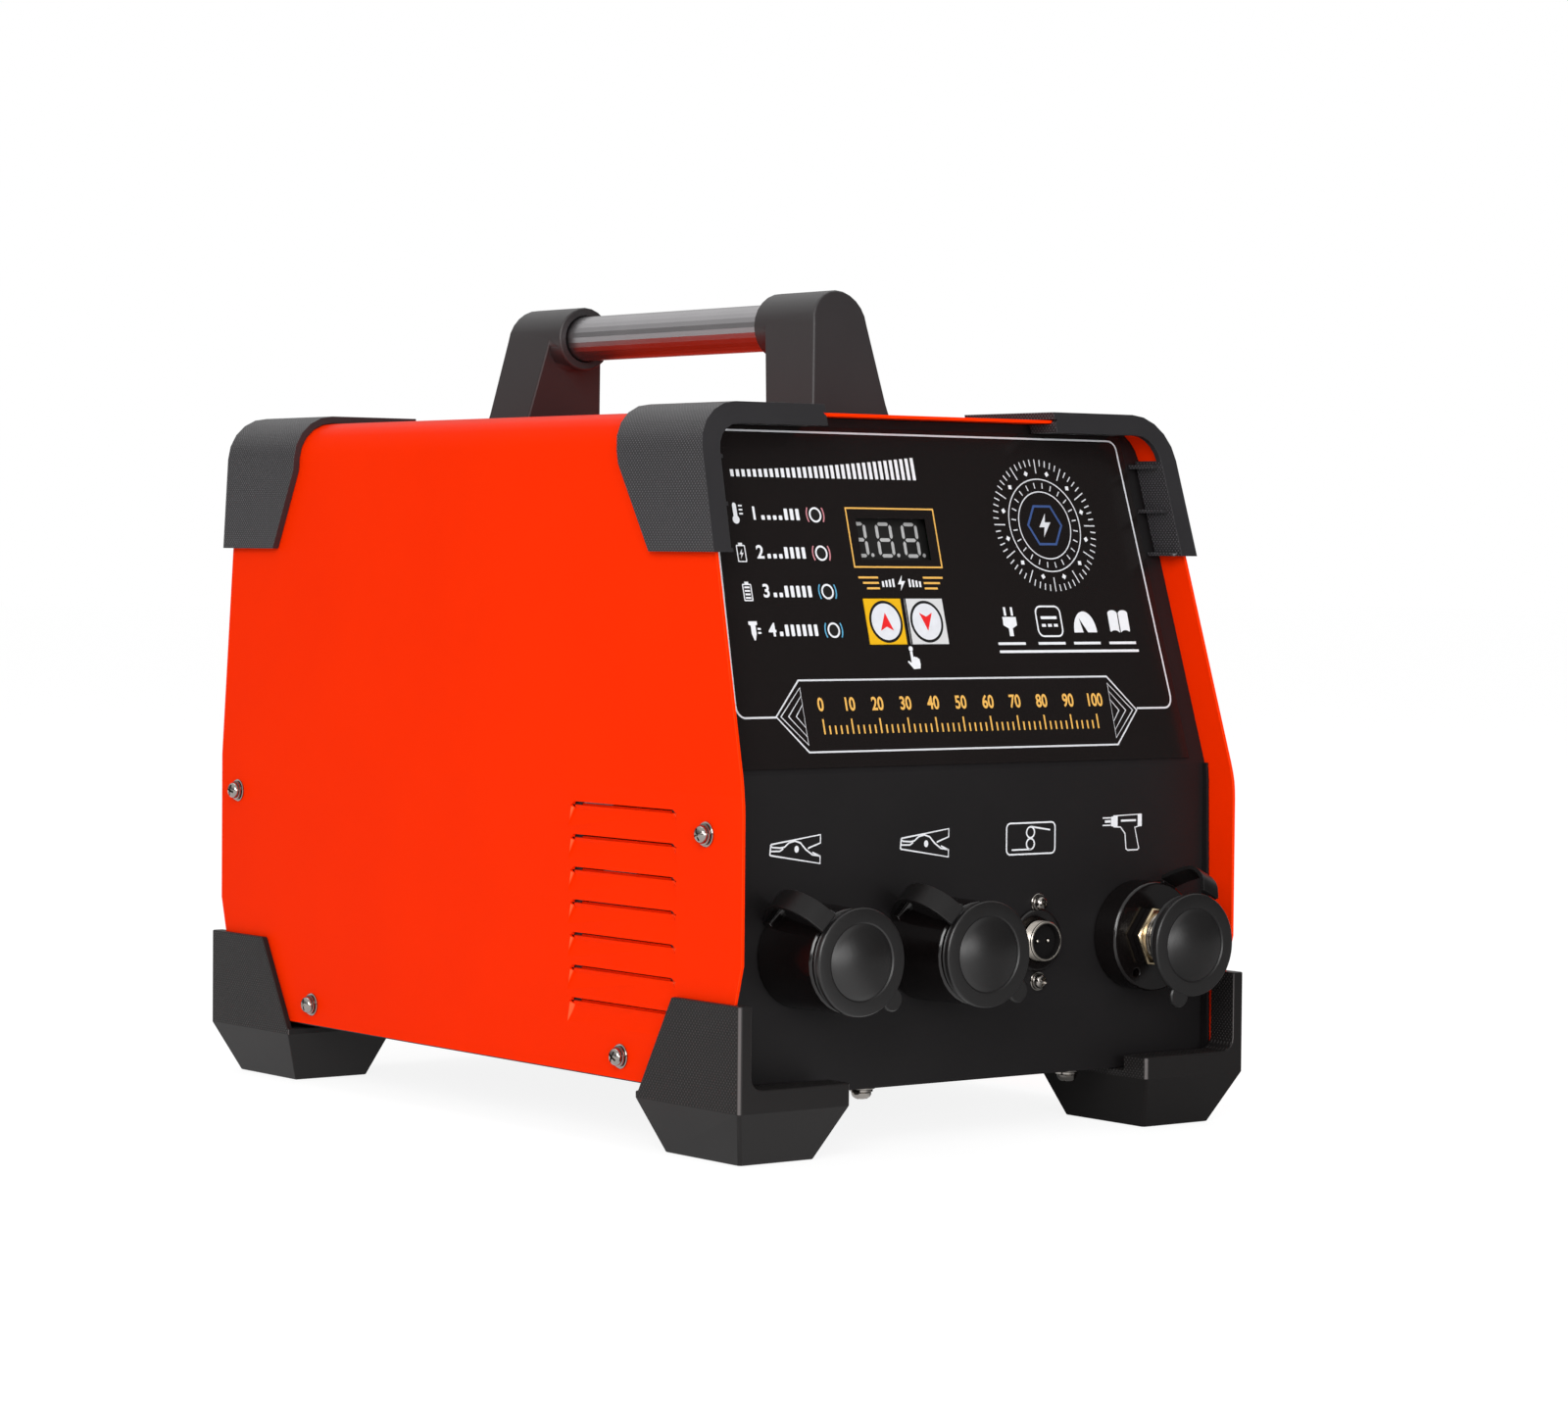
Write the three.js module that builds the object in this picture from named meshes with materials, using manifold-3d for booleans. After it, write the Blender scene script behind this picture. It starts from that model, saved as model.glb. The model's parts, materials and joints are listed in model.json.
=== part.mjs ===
// Capacitor discharge stud welder: the power unit with its carrying handle.
// Millimetres, +Z up, the control panel faces -Y.
import * as THREE from 'three';
import { mergeVertices } from 'three/addons/utils/BufferGeometryUtils.js';
import { ConvexGeometry } from 'three/addons/geometries/ConvexGeometry.js';
import Module from 'manifold-3d';

const wasm = await Module();
wasm.setup();

// Driving dimensions
const coverWidth = 244;
const coverLength = 376;
const coverTop = 278;
const coverBottom = 25.8;
const coverSheet = 1.2;
const coverCornerRadius = 16;
const kinkHeight = 136; // the box stands upright below this and leans in above it
const kinkRadius = 54;
const sideLeanShare = 0.058;
const frontLeanShare = 0.28;
const panelSheet = 1.5;
const panelRecess = 16; // the front panel's set-back from the cover's front edge
const rearRecess = 16;
const foldHeight = 142.7; // where the front panel starts to lean
const panelBottom = 23.3;
const mouldingProud = 3.2; // guards and feet stand out from the cover by this much
const handleRise = 38; // the tube's axis above the cover's top
const tubeDiameter = 19;
const socketHeight = 75.6;
const gap = 0.3; // clearance between pieces that touch
const overrun = 12; // how far a cut runs past what it cuts
const weldDistance = 1e-4;
const quarter = Math.PI / 2;

const handleHeight = coverTop + handleRise;
const leanAngle = Math.atan(frontLeanShare);
const halfLength = coverLength / 2;
const front = -1;
const rear = 1;
const left = -1;
const right = 1;

// Shape helpers

const material = (color, roughness, metalness = 0) =>
  new THREE.MeshStandardMaterial({ color, roughness, metalness });

function volumeOf(positions, triangles) {
  const corners = [new THREE.Vector3(), new THREE.Vector3(), new THREE.Vector3()];
  let sum = 0;
  for (let i = 0; i < triangles.length; i += 3) {
    corners.forEach((corner, k) => corner.fromArray(positions, 3 * triangles[i + k]));
    sum += corners[0].dot(corners[1].cross(corners[2]));
  }
  return sum;
}

function toSolid(geometry) {
  const bare = geometry.clone();
  bare.deleteAttribute('normal');
  bare.deleteAttribute('uv');
  const welded = mergeVertices(bare, weldDistance);
  const positions = welded.attributes.position.array;
  const triangles = [];
  for (let i = 0; i < welded.index.count; i += 3) {
    const [a, b, c] = [0, 1, 2].map((k) => welded.index.getX(i + k));
    if (a !== b && b !== c && c !== a) triangles.push(a, b, c);
  }
  if (volumeOf(positions, triangles) < 0) triangles.reverse();
  return new wasm.Manifold(new wasm.Mesh({
    numProp: 3,
    vertProperties: Float32Array.from(positions),
    triVerts: Uint32Array.from(triangles),
  }));
}

const asSolid = (shape) => (shape.isBufferGeometry ? toSolid(shape) : shape);
const join = (...shapes) => shapes.map(asSolid).reduce((a, b) => a.add(b));
const cut = (body, ...tools) => tools.map(asSolid).reduce((a, b) => a.subtract(b), asSolid(body));
const common = (...shapes) => shapes.map(asSolid).reduce((a, b) => a.intersect(b));

function toGeometry(solid) {
  const { numProp, vertProperties, triVerts } = solid.getMesh();
  const geometry = new THREE.BufferGeometry();
  const positions = new Float32Array((vertProperties.length / numProp) * 3);
  for (let i = 0; i < positions.length / 3; i += 1) {
    positions.set(vertProperties.subarray(i * numProp, i * numProp + 3), 3 * i);
  }
  geometry.setAttribute('position', new THREE.BufferAttribute(positions, 3));
  geometry.setIndex(new THREE.BufferAttribute(Uint32Array.from(triVerts), 1));
  geometry.computeVertexNormals();
  return geometry;
}

const model = new THREE.Group();

function place(name, shape, finish, parent = model) {
  const mesh = new THREE.Mesh(toGeometry(asSolid(shape)), finish);
  mesh.name = name;
  parent.add(mesh);
  return mesh;
}

function prism(outline, depth) {
  const shape = new THREE.Shape(outline.map(([a, b]) => new THREE.Vector2(a, b)));
  return new THREE.ExtrudeGeometry(shape, { depth, bevelEnabled: false });
}

// Outlines of [x, z], [y, z] and [x, y] points, extruded from one place to another
const alongY = (outline, y0, y1) =>
  prism(outline, y1 - y0).rotateX(Math.PI / 2).translate(0, y1, 0);

const turnAxes = new THREE.Matrix4().makeBasis(
  new THREE.Vector3(0, 1, 0), new THREE.Vector3(0, 0, 1), new THREE.Vector3(1, 0, 0));

const alongX = (outline, x0, x1) =>
  prism(outline, x1 - x0).applyMatrix4(turnAxes).translate(x0, 0, 0);

const alongZ = (outline, z0, z1) => prism(outline, z1 - z0).translate(0, 0, z0);

function box([x0, x1], [y0, y1], [z0, z1]) {
  const geometry = new THREE.BoxGeometry(Math.abs(x1 - x0), Math.abs(y1 - y0), Math.abs(z1 - z0));
  return geometry.translate((x0 + x1) / 2, (y0 + y1) / 2, (z0 + z1) / 2);
}

const hull = (points) =>
  new ConvexGeometry(points.map(([x, y, z]) => new THREE.Vector3(x, y, z)));

// A profile of [radius, y] points turned about the Y axis, and set at [x, z]
function turned(profile, [x, z] = [0, 0], steps = 32) {
  const points = profile.map(([r, y]) => new THREE.Vector2(r, y));
  return new THREE.LatheGeometry(points, steps).translate(x, 0, z);
}

const drum = (radius, y0, y1, at, steps) =>
  turned([[0, y0], [radius, y0], [radius, y1], [0, y1]], at, steps);

const ring = (outer, inner, y0, y1, at, steps) =>
  turned([[inner, y0], [outer, y0], [outer, y1], [inner, y1], [inner, y0]], at, steps);

// An upright drum between two heights, at [x, y]
const post = (radius, z0, z1, [x, y], steps) =>
  drum(radius, z0, z1, [0, 0], steps).rotateX(quarter).translate(x, y, 0);

function arc([cx, cy], radius, from, to, steps) {
  return Array.from({ length: steps + 1 }, (_, i) => {
    const angle = from + ((to - from) * i) / steps;
    return [cx + radius * Math.cos(angle), cy + radius * Math.sin(angle)];
  });
}

const mirrorX = (outline) => outline.map(([x, z]) => [-x, z]).reverse();
const sided = (side, outline) => (side < 0 ? mirrorX(outline) : outline);

// Lines of the box

const halfWidthAt = (z) => coverWidth / 2 - Math.max(0, z - kinkHeight) * sideLeanShare;

// The side wall's lean is tangent to the top corner's arc
const cornerLean = Math.atan(sideLeanShare);
const cornerCentreZ = coverTop - coverCornerRadius;
const cornerCentreX = halfWidthAt(cornerCentreZ) - coverCornerRadius;

// The right half of the section [x, z], offset outwards, from a height up to a reach on top
function sectionSide(offset, bottom, reach) {
  const lower = bottom < kinkHeight ? [[coverWidth / 2 + offset, kinkHeight]] : [];
  return [
    [halfWidthAt(bottom) + offset, bottom],
    ...lower,
    ...arc([cornerCentreX, cornerCentreZ], coverCornerRadius + offset, cornerLean, quarter, 5),
    [reach, coverTop + offset],
  ];
}

// Front and rear edges of the cover, seen from the side, as [y, z] from the bottom up
const kinkHalf = kinkRadius * Math.tan(leanAngle / 2);

function frontLine(offset, bottom, top) {
  const y = -halfLength + offset;
  const topY = y + (top - kinkHeight) * frontLeanShare;
  if (bottom >= kinkHeight) return [[y + (bottom - kinkHeight) * frontLeanShare, bottom], [topY, top]];
  const centre = [y + kinkRadius, kinkHeight - kinkHalf];
  const bend = arc(centre, kinkRadius, 2 * quarter, 2 * quarter - leanAngle, 4);
  return [[y, bottom], ...bend, [topY, top]];
}

function endLine(end, offset, bottom, top) {
  if (end === front) return frontLine(offset, bottom, top);
  return [[halfLength - offset, bottom], [halfLength - offset, top]];
}

// The region between two lines of one end, as a plate across the whole width
function endSlab(end, outer, inner, bottom, top) {
  const outline = [...endLine(end, outer, bottom, top), ...endLine(end, inner, bottom, top).reverse()];
  return alongX(outline, -coverWidth, coverWidth);
}

const endAt = (end, offset, z) => {
  const y = -halfLength + offset + Math.max(0, z - kinkHeight) * frontLeanShare;
  return end === front ? y : halfLength - offset;
};

// Cover: one sheet folded over the sides and the top

const coverPaint = material(0xff3200, 0.45);
const louvreCount = 7;
const louvreTop = 128;
const louvrePitch = 12.54;
const louvreLength = 64.5;
const louvreFront = 144.5; // distance of the slots' front end from the middle of the cover
const louvreFall = 8.5; // height of the pressed-in flap
const louvreDepth = 2.2;
const louvreFlare = 3.6; // the flap is longer at its root than at its free edge
const louvreSlit = 0.6;
const louvreEnd = 2.8; // the slot opens into a small triangle at each end
const louvreEndFall = 2.4;
const notchTop = 74.5;
const notchFoot = 60;
const notchDepth = 4;

// A wedge pressed inwards: deepest at the free top edge, nothing at its root
function louvreWedge(side, y0, z, shift) {
  const wall = side * (coverWidth / 2 - shift);
  const deep = side * (coverWidth / 2 - shift - louvreDepth);
  const [y1, root] = [y0 + louvreLength, z - louvreFall];
  const lip = z + (shift > 0 ? 0 : coverSheet);
  return hull([
    [wall, y0 - louvreFlare, root], [wall, y1 + louvreFlare, root],
    [wall, y0 - louvreFlare / 2, z], [wall, y1 + louvreFlare / 2, z],
    [deep, y0, lip], [deep, y1, lip], [wall, y0, lip], [wall, y1, lip],
  ]);
}

function coverShape() {
  const outer = sectionSide(0, coverBottom, 0);
  const inner = sectionSide(-coverSheet, coverBottom, 0);
  const outline = [...outer, ...mirrorX(outer), ...mirrorX(inner).reverse(), ...inner.reverse()];
  const sideView = [
    [-halfLength + notchDepth, coverBottom],
    [-halfLength + notchDepth, notchFoot],
    ...frontLine(0, notchTop, coverTop + overrun),
    [halfLength, coverTop + overrun],
    [halfLength, notchTop],
    [halfLength - notchDepth, notchFoot],
    [halfLength - notchDepth, coverBottom],
  ];
  let shell = common(alongY(outline, -halfLength, halfLength), alongX(sideView, -coverWidth, coverWidth));
  for (const side of [left, right]) {
    for (let i = 0; i < louvreCount; i += 1) {
      const z = louvreTop - i * louvrePitch;
      const y0 = -louvreFront;
      shell = join(shell, louvreWedge(side, y0, z, coverSheet));
      shell = cut(shell, louvreWedge(side, y0, z, 0), louvreSlot(side, y0, z));
    }
  }
  return shell;
}

// Opens the wedge's top edge to the inside, with a triangle at each end
function louvreSlot(side, y0, z) {
  const xs = [coverWidth / 2 + coverSheet, coverWidth / 2 - louvreDepth].map((x) => side * x);
  const [y1, slit] = [y0 + louvreLength, z - louvreSlit];
  const outline = [[y0 - louvreEnd, z], [y0, z - louvreEndFall], [y0, slit], [y1, slit],
    [y1, z - louvreEndFall], [y1 + louvreEnd, z]];
  return alongX(outline, ...xs.sort((p, q) => p - q));
}

place('cover', coverShape(), coverPaint);

// Base pan and the front and rear panels

const panelPaint = material(0x232122, 0.6);
const panPaint = material(0x2a2a2b, 0.6);
const flangeDepth = 14;
const panFlange = 12;
const panelFit = coverSheet + gap;
const panelTop = coverTop - panelFit;
const panelFaceY = -halfLength + panelRecess;
const rearFaceY = halfLength - rearRecess;
const panTopZ = panelBottom + 2 * panelSheet + gap;

function panShape() {
  const halfPan = coverWidth / 2 - panelFit;
  const ends = [panelFaceY + panelSheet + gap, rearFaceY - panelSheet - gap];
  const bottom = panelBottom + panelSheet + gap;
  const outline = [
    [-halfPan, bottom], [halfPan, bottom], [halfPan, panTopZ + panFlange],
    [halfPan - panelSheet, panTopZ + panFlange], [halfPan - panelSheet, panTopZ],
    [-halfPan + panelSheet, panTopZ], [-halfPan + panelSheet, panTopZ + panFlange],
    [-halfPan, panTopZ + panFlange],
  ];
  return alongY(outline, ...ends);
}

place('base_pan', panShape(), panPaint);

// The panel's front view, a fit inside the cover
function panelOutline() {
  const side = sectionSide(-panelFit, panelBottom, 0);
  return [...side, ...mirrorX(side)];
}

// The front panel's own frame: origin on the fold, z up its slope, -y out of its face
const slopeFrame = new THREE.Matrix4()
  .makeTranslation(0, panelFaceY, foldHeight)
  .multiply(new THREE.Matrix4().makeRotationX(-leanAngle));
const slopeLength = (panelTop - foldHeight) / Math.cos(leanAngle);
const sloped = (geometry) => geometry.applyMatrix4(slopeFrame);

// Heights on the slope, as shares of its length
const slopeShares = { display: 0.66, keys: 0.42, lamps: 0.722, boardBottom: 0.249, boardTop: 0.847 };

// Keys, lamps and display on the slope, as places across and up it
const windowX = -20.9;
const windowWidth = 41;
const windowHeight = 20.5;
const windowZ = slopeShares.display * slopeLength;
const displayWindow = { x: windowX, z: windowZ, width: windowWidth, height: windowHeight };
const keySize = 18.6;
const keyHeight = 18;
const keyPitch = 20;
const keyRow = slopeShares.keys * slopeLength;
const keyMiddle = -21.6;
const lampRadius = 2.2;
const lampX = -57.4;
const lampTop = slopeShares.lamps * slopeLength;
const lampPitch = 15.1;
const lampCount = 4;
const lampPlaces = Array.from({ length: lampCount }, (_, i) => [lampX, lampTop - i * lampPitch]);
const keyPlaces = [-1, 1].map((way) => [keyMiddle + (way * keyPitch) / 2, keyRow]);

function windowTool({ x, z, width, height }, grow) {
  const [w, h] = [width / 2 + grow, height / 2 + grow];
  return sloped(box([x - w, x + w], [-overrun / 2, overrun / 2], [z - h, z + h]));
}

const keyTool = ([x, z], grow) => windowTool({ x, z, width: keySize, height: keyHeight }, grow);
const lampTool = (at, grow) => sloped(drum(lampRadius + grow, -overrun / 2, overrun / 2, at, 12));

// The row of sockets, as shares of the half width
const socketRowShares = { left: -0.68, middle: -0.184, signal: 0.265, gun: 0.686 };
const rowX = (name) => (socketRowShares[name] * coverWidth) / 2;
const tailRadius = 8;
const signalRadius = 7.8;

function frontPanelShape() {
  const face = panelFaceY;
  const slopeRun = (panelTop - foldHeight) * frontLeanShare;
  const back = face + panelSheet;
  const bend = panelSheet * Math.tan(leanAngle / 2);
  const profile = [
    [face, panelBottom], [face, foldHeight], [face + slopeRun, panelTop],
    [face + slopeRun + panelSheet / Math.cos(leanAngle), panelTop], [back, foldHeight - bend],
    [back, panelBottom + panelSheet], [face + flangeDepth, panelBottom + panelSheet],
    [face + flangeDepth, panelBottom],
  ];
  const body = common(
    alongX(profile, -coverWidth / 2, coverWidth / 2),
    alongY(panelOutline(), face - overrun, face + slopeRun + flangeDepth));
  const tails = ['left', 'middle', 'gun'].map((name) =>
    drum(tailRadius + gap, face - overrun, face + overrun, [rowX(name), socketHeight], 24));
  const signal = drum(signalRadius + gap, face - overrun, face + overrun, [rowX('signal'),
    socketHeight], 24);
  const openings = [windowTool(displayWindow, 0), ...keyPlaces.map((at) => keyTool(at, gap)),
    ...lampPlaces.map((at) => lampTool(at, gap))];
  return cut(body, ...tails, signal, ...openings);
}

place('front_panel', frontPanelShape(), panelPaint);

const fanSize = 120;
const fanBore = 114;
// Places on the rear panel, as shares of the half width and of the height
const fanShares = [17 / 61, 84 / 139];
const switchShares = [-36 / 61, 205 / 278];
const glandShares = [-36 / 61, 39 / 139];
const rearPlace = ([across, up]) => [(across * coverWidth) / 2, up * coverTop];
const [fanX, fanZ] = rearPlace(fanShares);
const switchWidth = 29;
const switchHeight = 22;
const [switchX, switchZ] = rearPlace(switchShares);
const [glandX, glandZ] = rearPlace(glandShares);
const glandRadius = 8.5;

function rearPanelShape() {
  const profile = [
    [rearFaceY, panelBottom], [rearFaceY, panelTop], [rearFaceY - panelSheet, panelTop],
    [rearFaceY - panelSheet, panelBottom + panelSheet],
    [rearFaceY - flangeDepth, panelBottom + panelSheet], [rearFaceY - flangeDepth, panelBottom],
  ];
  const body = common(
    alongX(profile, -coverWidth / 2, coverWidth / 2),
    alongY(panelOutline(), rearFaceY - flangeDepth - overrun, rearFaceY + overrun));
  const [w, h] = [switchWidth / 2 + gap, switchHeight / 2 + gap];
  const through = [rearFaceY - overrun, rearFaceY + overrun];
  return cut(body,
    drum(fanBore / 2, ...through, [fanX, fanZ], 36),
    drum(glandRadius + gap, ...through, [glandX, glandZ], 20),
    box([switchX - w, switchX + w], through, [switchZ - h, switchZ + h]));
}

place('rear_panel', rearPanelShape(), panelPaint);

// Corner guards: a moulding that wraps the cover's edge from outside to inside

const mouldedPlastic = material(0x37363a, 0.7);
const guardDrop = 53; // from the cover's top down to the guard's lower edge
const guardStepDrop = 20; // down to where the side plate reaches its full width
const guardBottom = coverTop - guardDrop;
const guardStep = coverTop - guardStepDrop;
const guardFootWidth = 41.5;
const guardWidth = 55;
const guardReach = 57; // how near to the middle the top plate comes
const lipWidth = 8.2;
const guardChamfer = 4.5;
const finProud = 3;
const finThickness = 1.5;
const finHeightShares = [0.045, 0.53, 1];
const patchInset = 23;
const patchDrop = 15;
const patchInner = coverWidth / 2 - patchInset;
const patchBottom = coverTop - patchDrop;
const returnClear = 1.6; // between the inner return and the panel

function guardShape(side, end) {
  const top = coverTop + overrun;
  const lowest = guardBottom;
  const wall = (offset) => sectionSide(offset, lowest, guardReach);
  const band = (outer, inner) => sided(side, [...wall(outer), ...wall(inner).reverse()]);
  const span = end === front ? [-halfLength - overrun, 0] : [0, halfLength + overrun];
  const widthLine = [
    [endAt(end, -mouldingProud, lowest) - end * guardFootWidth, lowest],
    [endAt(end, -mouldingProud, guardStep) - end * guardWidth, guardStep],
    [endAt(end, -mouldingProud, top) - end * guardWidth, top],
  ];
  const sideView = [...endLine(end, -mouldingProud, lowest, top), ...widthLine.reverse()];
  const plate = common(alongY(band(mouldingProud, gap), ...span), alongX(sideView, -coverWidth, coverWidth));

  const chamfered = wall(mouldingProud);
  chamfered.splice(-1, 1,
    [guardReach + guardChamfer, coverTop + mouldingProud],
    [guardReach, coverTop + mouldingProud - guardChamfer]);
  const lipOutline = sided(side, [...chamfered, ...wall(mouldingProud - lipWidth).reverse()]);
  const lip = common(alongY(lipOutline, ...span), endSlab(end, -mouldingProud, -gap, lowest, top));

  const recess = panelRecessAt(end) - returnClear;
  const inner = common(
    alongY(band(-panelFit, mouldingProud - lipWidth), ...span),
    endSlab(end, -mouldingProud, recess, lowest, top));
  const patch = common(
    alongY(sided(side, [[patchInner, patchBottom], [coverWidth, patchBottom], [coverWidth, top],
      [patchInner, top]]), ...span),
    endSlab(end, -gap, recess + overrun, lowest, top));
  const foot = halfWidthAt(lowest) + mouldingProud - lipWidth;
  const fins = finHeightShares.map((share) => {
    const z = patchBottom - (patchBottom - lowest - finThickness) * share;
    const x = foot - (z - lowest) * sideLeanShare;
    return alongY(sided(side, [[x - finProud, z - finThickness], [x + finThickness, z - finThickness],
      [x + finThickness, z], [x - finProud, z]]), ...span);
  });
  const finZone = endSlab(end, -gap, panelRecessAt(end) - gap, lowest, top);
  return join(plate, lip, cut(inner, patch), common(join(...fins), finZone));
}

// Set-back of the panel's face from the cover's edge, at the guards' height
function panelRecessAt(end) {
  return end === rear ? rearRecess : panelRecess - (foldHeight - kinkHeight) * frontLeanShare;
}

for (const [end, endName] of [[front, 'front'], [rear, 'rear']]) {
  for (const [side, sideName] of [[left, 'left'], [right, 'right']]) {
    place(`guard_${endName}_${sideName}`, guardShape(side, end), mouldedPlastic);
  }
}

// Feet: a tapering block under the corner with a plate, a lip and a return around the cover's edge

const footPlastic = material(0x2b2727, 0.65);
const footTop = 60;
const footWaist = 20.5; // the walls stand upright above this and taper to the ground below it
const footTaper = 8.6; // each side of the block draws in by this much at the ground
const footEndTaper = 10.7;
const footInnerTaper = 8;
const footBevel = 1.2;
const footWidth = 52;
const footLength = 65;
const footPlateTopLength = 42.5;
const footUpstand = 29;
const footWrap = 13.3; // depth of the upstand and the return behind the cover's edge
const footLip = 5.8;
const footFillet = 5;
const footLipDepth = mouldingProud + notchDepth - gap;

function footShape(side, end) {
  const outerX = coverWidth / 2 + mouldingProud;
  const outerY = halfLength + mouldingProud;
  const outline = (taper, endTaper, innerTaper) => {
    const [x0, x1] = [outerX - footWidth + taper, outerX - taper];
    const [y0, y1] = [outerY - footLength + innerTaper, outerY - endTaper];
    return [[x1, y1 - footBevel], [x1, y0], [x0, y0], [x0, y1 - footBevel], [x0 + footBevel, y1],
      [x1 - footBevel, y1]].map(([x, y]) => [side * x, end * y]);
  };
  const level = (z, ...tapers) => outline(...tapers).map(([x, y]) => [x, y, z]);
  const blockTop = panelBottom - gap;
  const block = hull([...level(0, footTaper, footEndTaper, footInnerTaper), ...level(footWaist, 0, 0, 0),
    ...level(blockTop, 0, 0, 0)]);
  const xs = (a, b) => [side * a, side * b].sort((p, q) => p - q);
  const ys = (a, b) => [end * a, end * b].sort((p, q) => p - q);
  const upstand = box(xs(outerX - footWidth, coverWidth / 2 - panelFit), ys(outerY, outerY - footWrap),
    [blockTop - gap, footUpstand]);
  const plateView = [[outerY, footWaist], [outerY - footLength, footWaist],
    [outerY - footPlateTopLength, footTop], [outerY, footTop]].map(([y, z]) => [end * y, z]);
  const plate = alongX(plateView, ...xs(coverWidth / 2 + gap, outerX));
  const lip = box(xs(outerX - footLip, outerX), ys(outerY, outerY - footLipDepth), [footWaist, footTop]);
  const inner = box(xs(outerX - footLip, coverWidth / 2 - panelFit), ys(outerY, outerY - footWrap),
    [footWaist, footTop]);
  const corner = [outerX - footLip - footFillet, footUpstand + footFillet];
  const fillet = [[outerX - footLip + gap, footUpstand - gap], [outerX - footLip + gap, corner[1]],
    ...arc(corner, footFillet, 0, -quarter, 4), [corner[0], footUpstand - gap]];
  const web = alongY(sided(side, fillet), ...ys(outerY, outerY - footWrap));
  const plan = outline(0, 0, 0);
  const bevelled = alongZ(side * end > 0 ? plan.reverse() : plan, 0, footTop);
  return common(join(block, upstand, plate, lip, inner, web), bevelled);
}

for (const [end, endName] of [[front, 'front'], [rear, 'rear']]) {
  for (const [side, sideName] of [[left, 'left'], [right, 'right']]) {
    place(`foot_${endName}_${sideName}`, footShape(side, end), footPlastic);
  }
}

// Handle: two moulded posts with collars round a metal tube

const handlePlastic = material(0x323032, 0.5);
const tubeMetal = material(0x55565a, 0.25, 0.9);
const handleMiddle = 22; // the posts stand symmetrically about this
const postOuter = 116.5;
const postInner = 85.5;
const collarInner = 69;
const postLeanShare = 0.2;
const postInnerLeanShare = 0.24;
const collarRadius = 13.5;
const postFootHalf = 20;
const postFlareShare = 0.78;
const postWaist = 6; // height of the flared foot
const tubeWall = 1.5;
const tubeSeat = 14; // how deep the tube goes into each post
const postRound = 3.5;

function postShape(end) {
  const base = coverTop + gap;
  const rise = handleHeight - base;
  const y = (distance) => handleMiddle + end * distance;
  const flank = postFootHalf - collarRadius;
  const frontView = [[-postFootHalf, base], [postFootHalf, base],
    [collarRadius + flank * postFlareShare, base + postWaist],
    ...arc([0, handleHeight], collarRadius, 0, 2 * quarter, 12),
    [-collarRadius - flank * postFlareShare, base + postWaist]];
  const apex = rise + collarRadius;
  const sideView = [[y(postOuter), base], [y(postOuter - apex * postLeanShare), base + apex],
    [y(postInner - rise * postInnerLeanShare), base + apex],
    [y(postInner - rise * postInnerLeanShare), handleHeight],
    [y(postInner), base]];
  const ys = [y(postOuter), y(0)].sort((p, q) => p - q);
  const body = common(alongY(frontView, ...ys), alongX(sideView, -coverWidth, coverWidth));
  const collarSpan = [y(collarInner), y(postInner - postRound)].sort((p, q) => p - q);
  const collar = drum(collarRadius, ...collarSpan, [0, handleHeight], 24);
  const seatSpan = [y(collarInner - overrun), y(collarInner + tubeSeat)].sort((p, q) => p - q);
  return cut(join(body, collar), drum(tubeDiameter / 2 + gap, ...seatSpan, [0, handleHeight], 28));
}

place('handle_post_front', postShape(front), handlePlastic);
place('handle_post_rear', postShape(rear), handlePlastic);

const tubeHalf = collarInner + tubeSeat - gap;
place('handle_tube', ring(tubeDiameter / 2, tubeDiameter / 2 - tubeWall,
  handleMiddle - tubeHalf, handleMiddle + tubeHalf, [0, handleHeight], 28), tubeMetal);

// Printed film on the slope, with the keys, the lamps and the display under it

const filmFinish = material(0x1b1819, 0.2);
const filmThickness = 0.5;
const filmMargin = 10;
const filmTop = (coverTop - lipWidth + mouldingProud - gap - foldHeight) / Math.cos(leanAngle);
const filmBottom = 2;
const filmFront = gap + filmThickness;

function filmShape() {
  const halfAt = (z) => halfWidthAt(foldHeight + z * Math.cos(leanAngle)) - filmMargin;
  const outline = [[-halfAt(filmBottom), filmBottom], [halfAt(filmBottom), filmBottom],
    [halfAt(filmTop), filmTop], [-halfAt(filmTop), filmTop]];
  const sheet = sloped(alongY(outline, -filmFront, -gap));
  return cut(sheet, windowTool(displayWindow, 0), ...keyPlaces.map((at) => keyTool(at, gap)),
    ...lampPlaces.map((at) => lampTool(at, gap)));
}

place('label_film', filmShape(), filmFinish);

const slope = new THREE.Group();
slope.applyMatrix4(slopeFrame);
model.add(slope);

const boardBack = 15; // the board's front face behind the panel's face
const boardThickness = 1.6;
const boardHalfWidth = 74;
const boardBottom = slopeShares.boardBottom * slopeLength;
const boardTop = slopeShares.boardTop * slopeLength;
const spacerRadius = 3.5;
const spacerInset = 6;
const headerWidth = 26;
const headerHeight = 12;
const headerDepth = 9;

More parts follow.
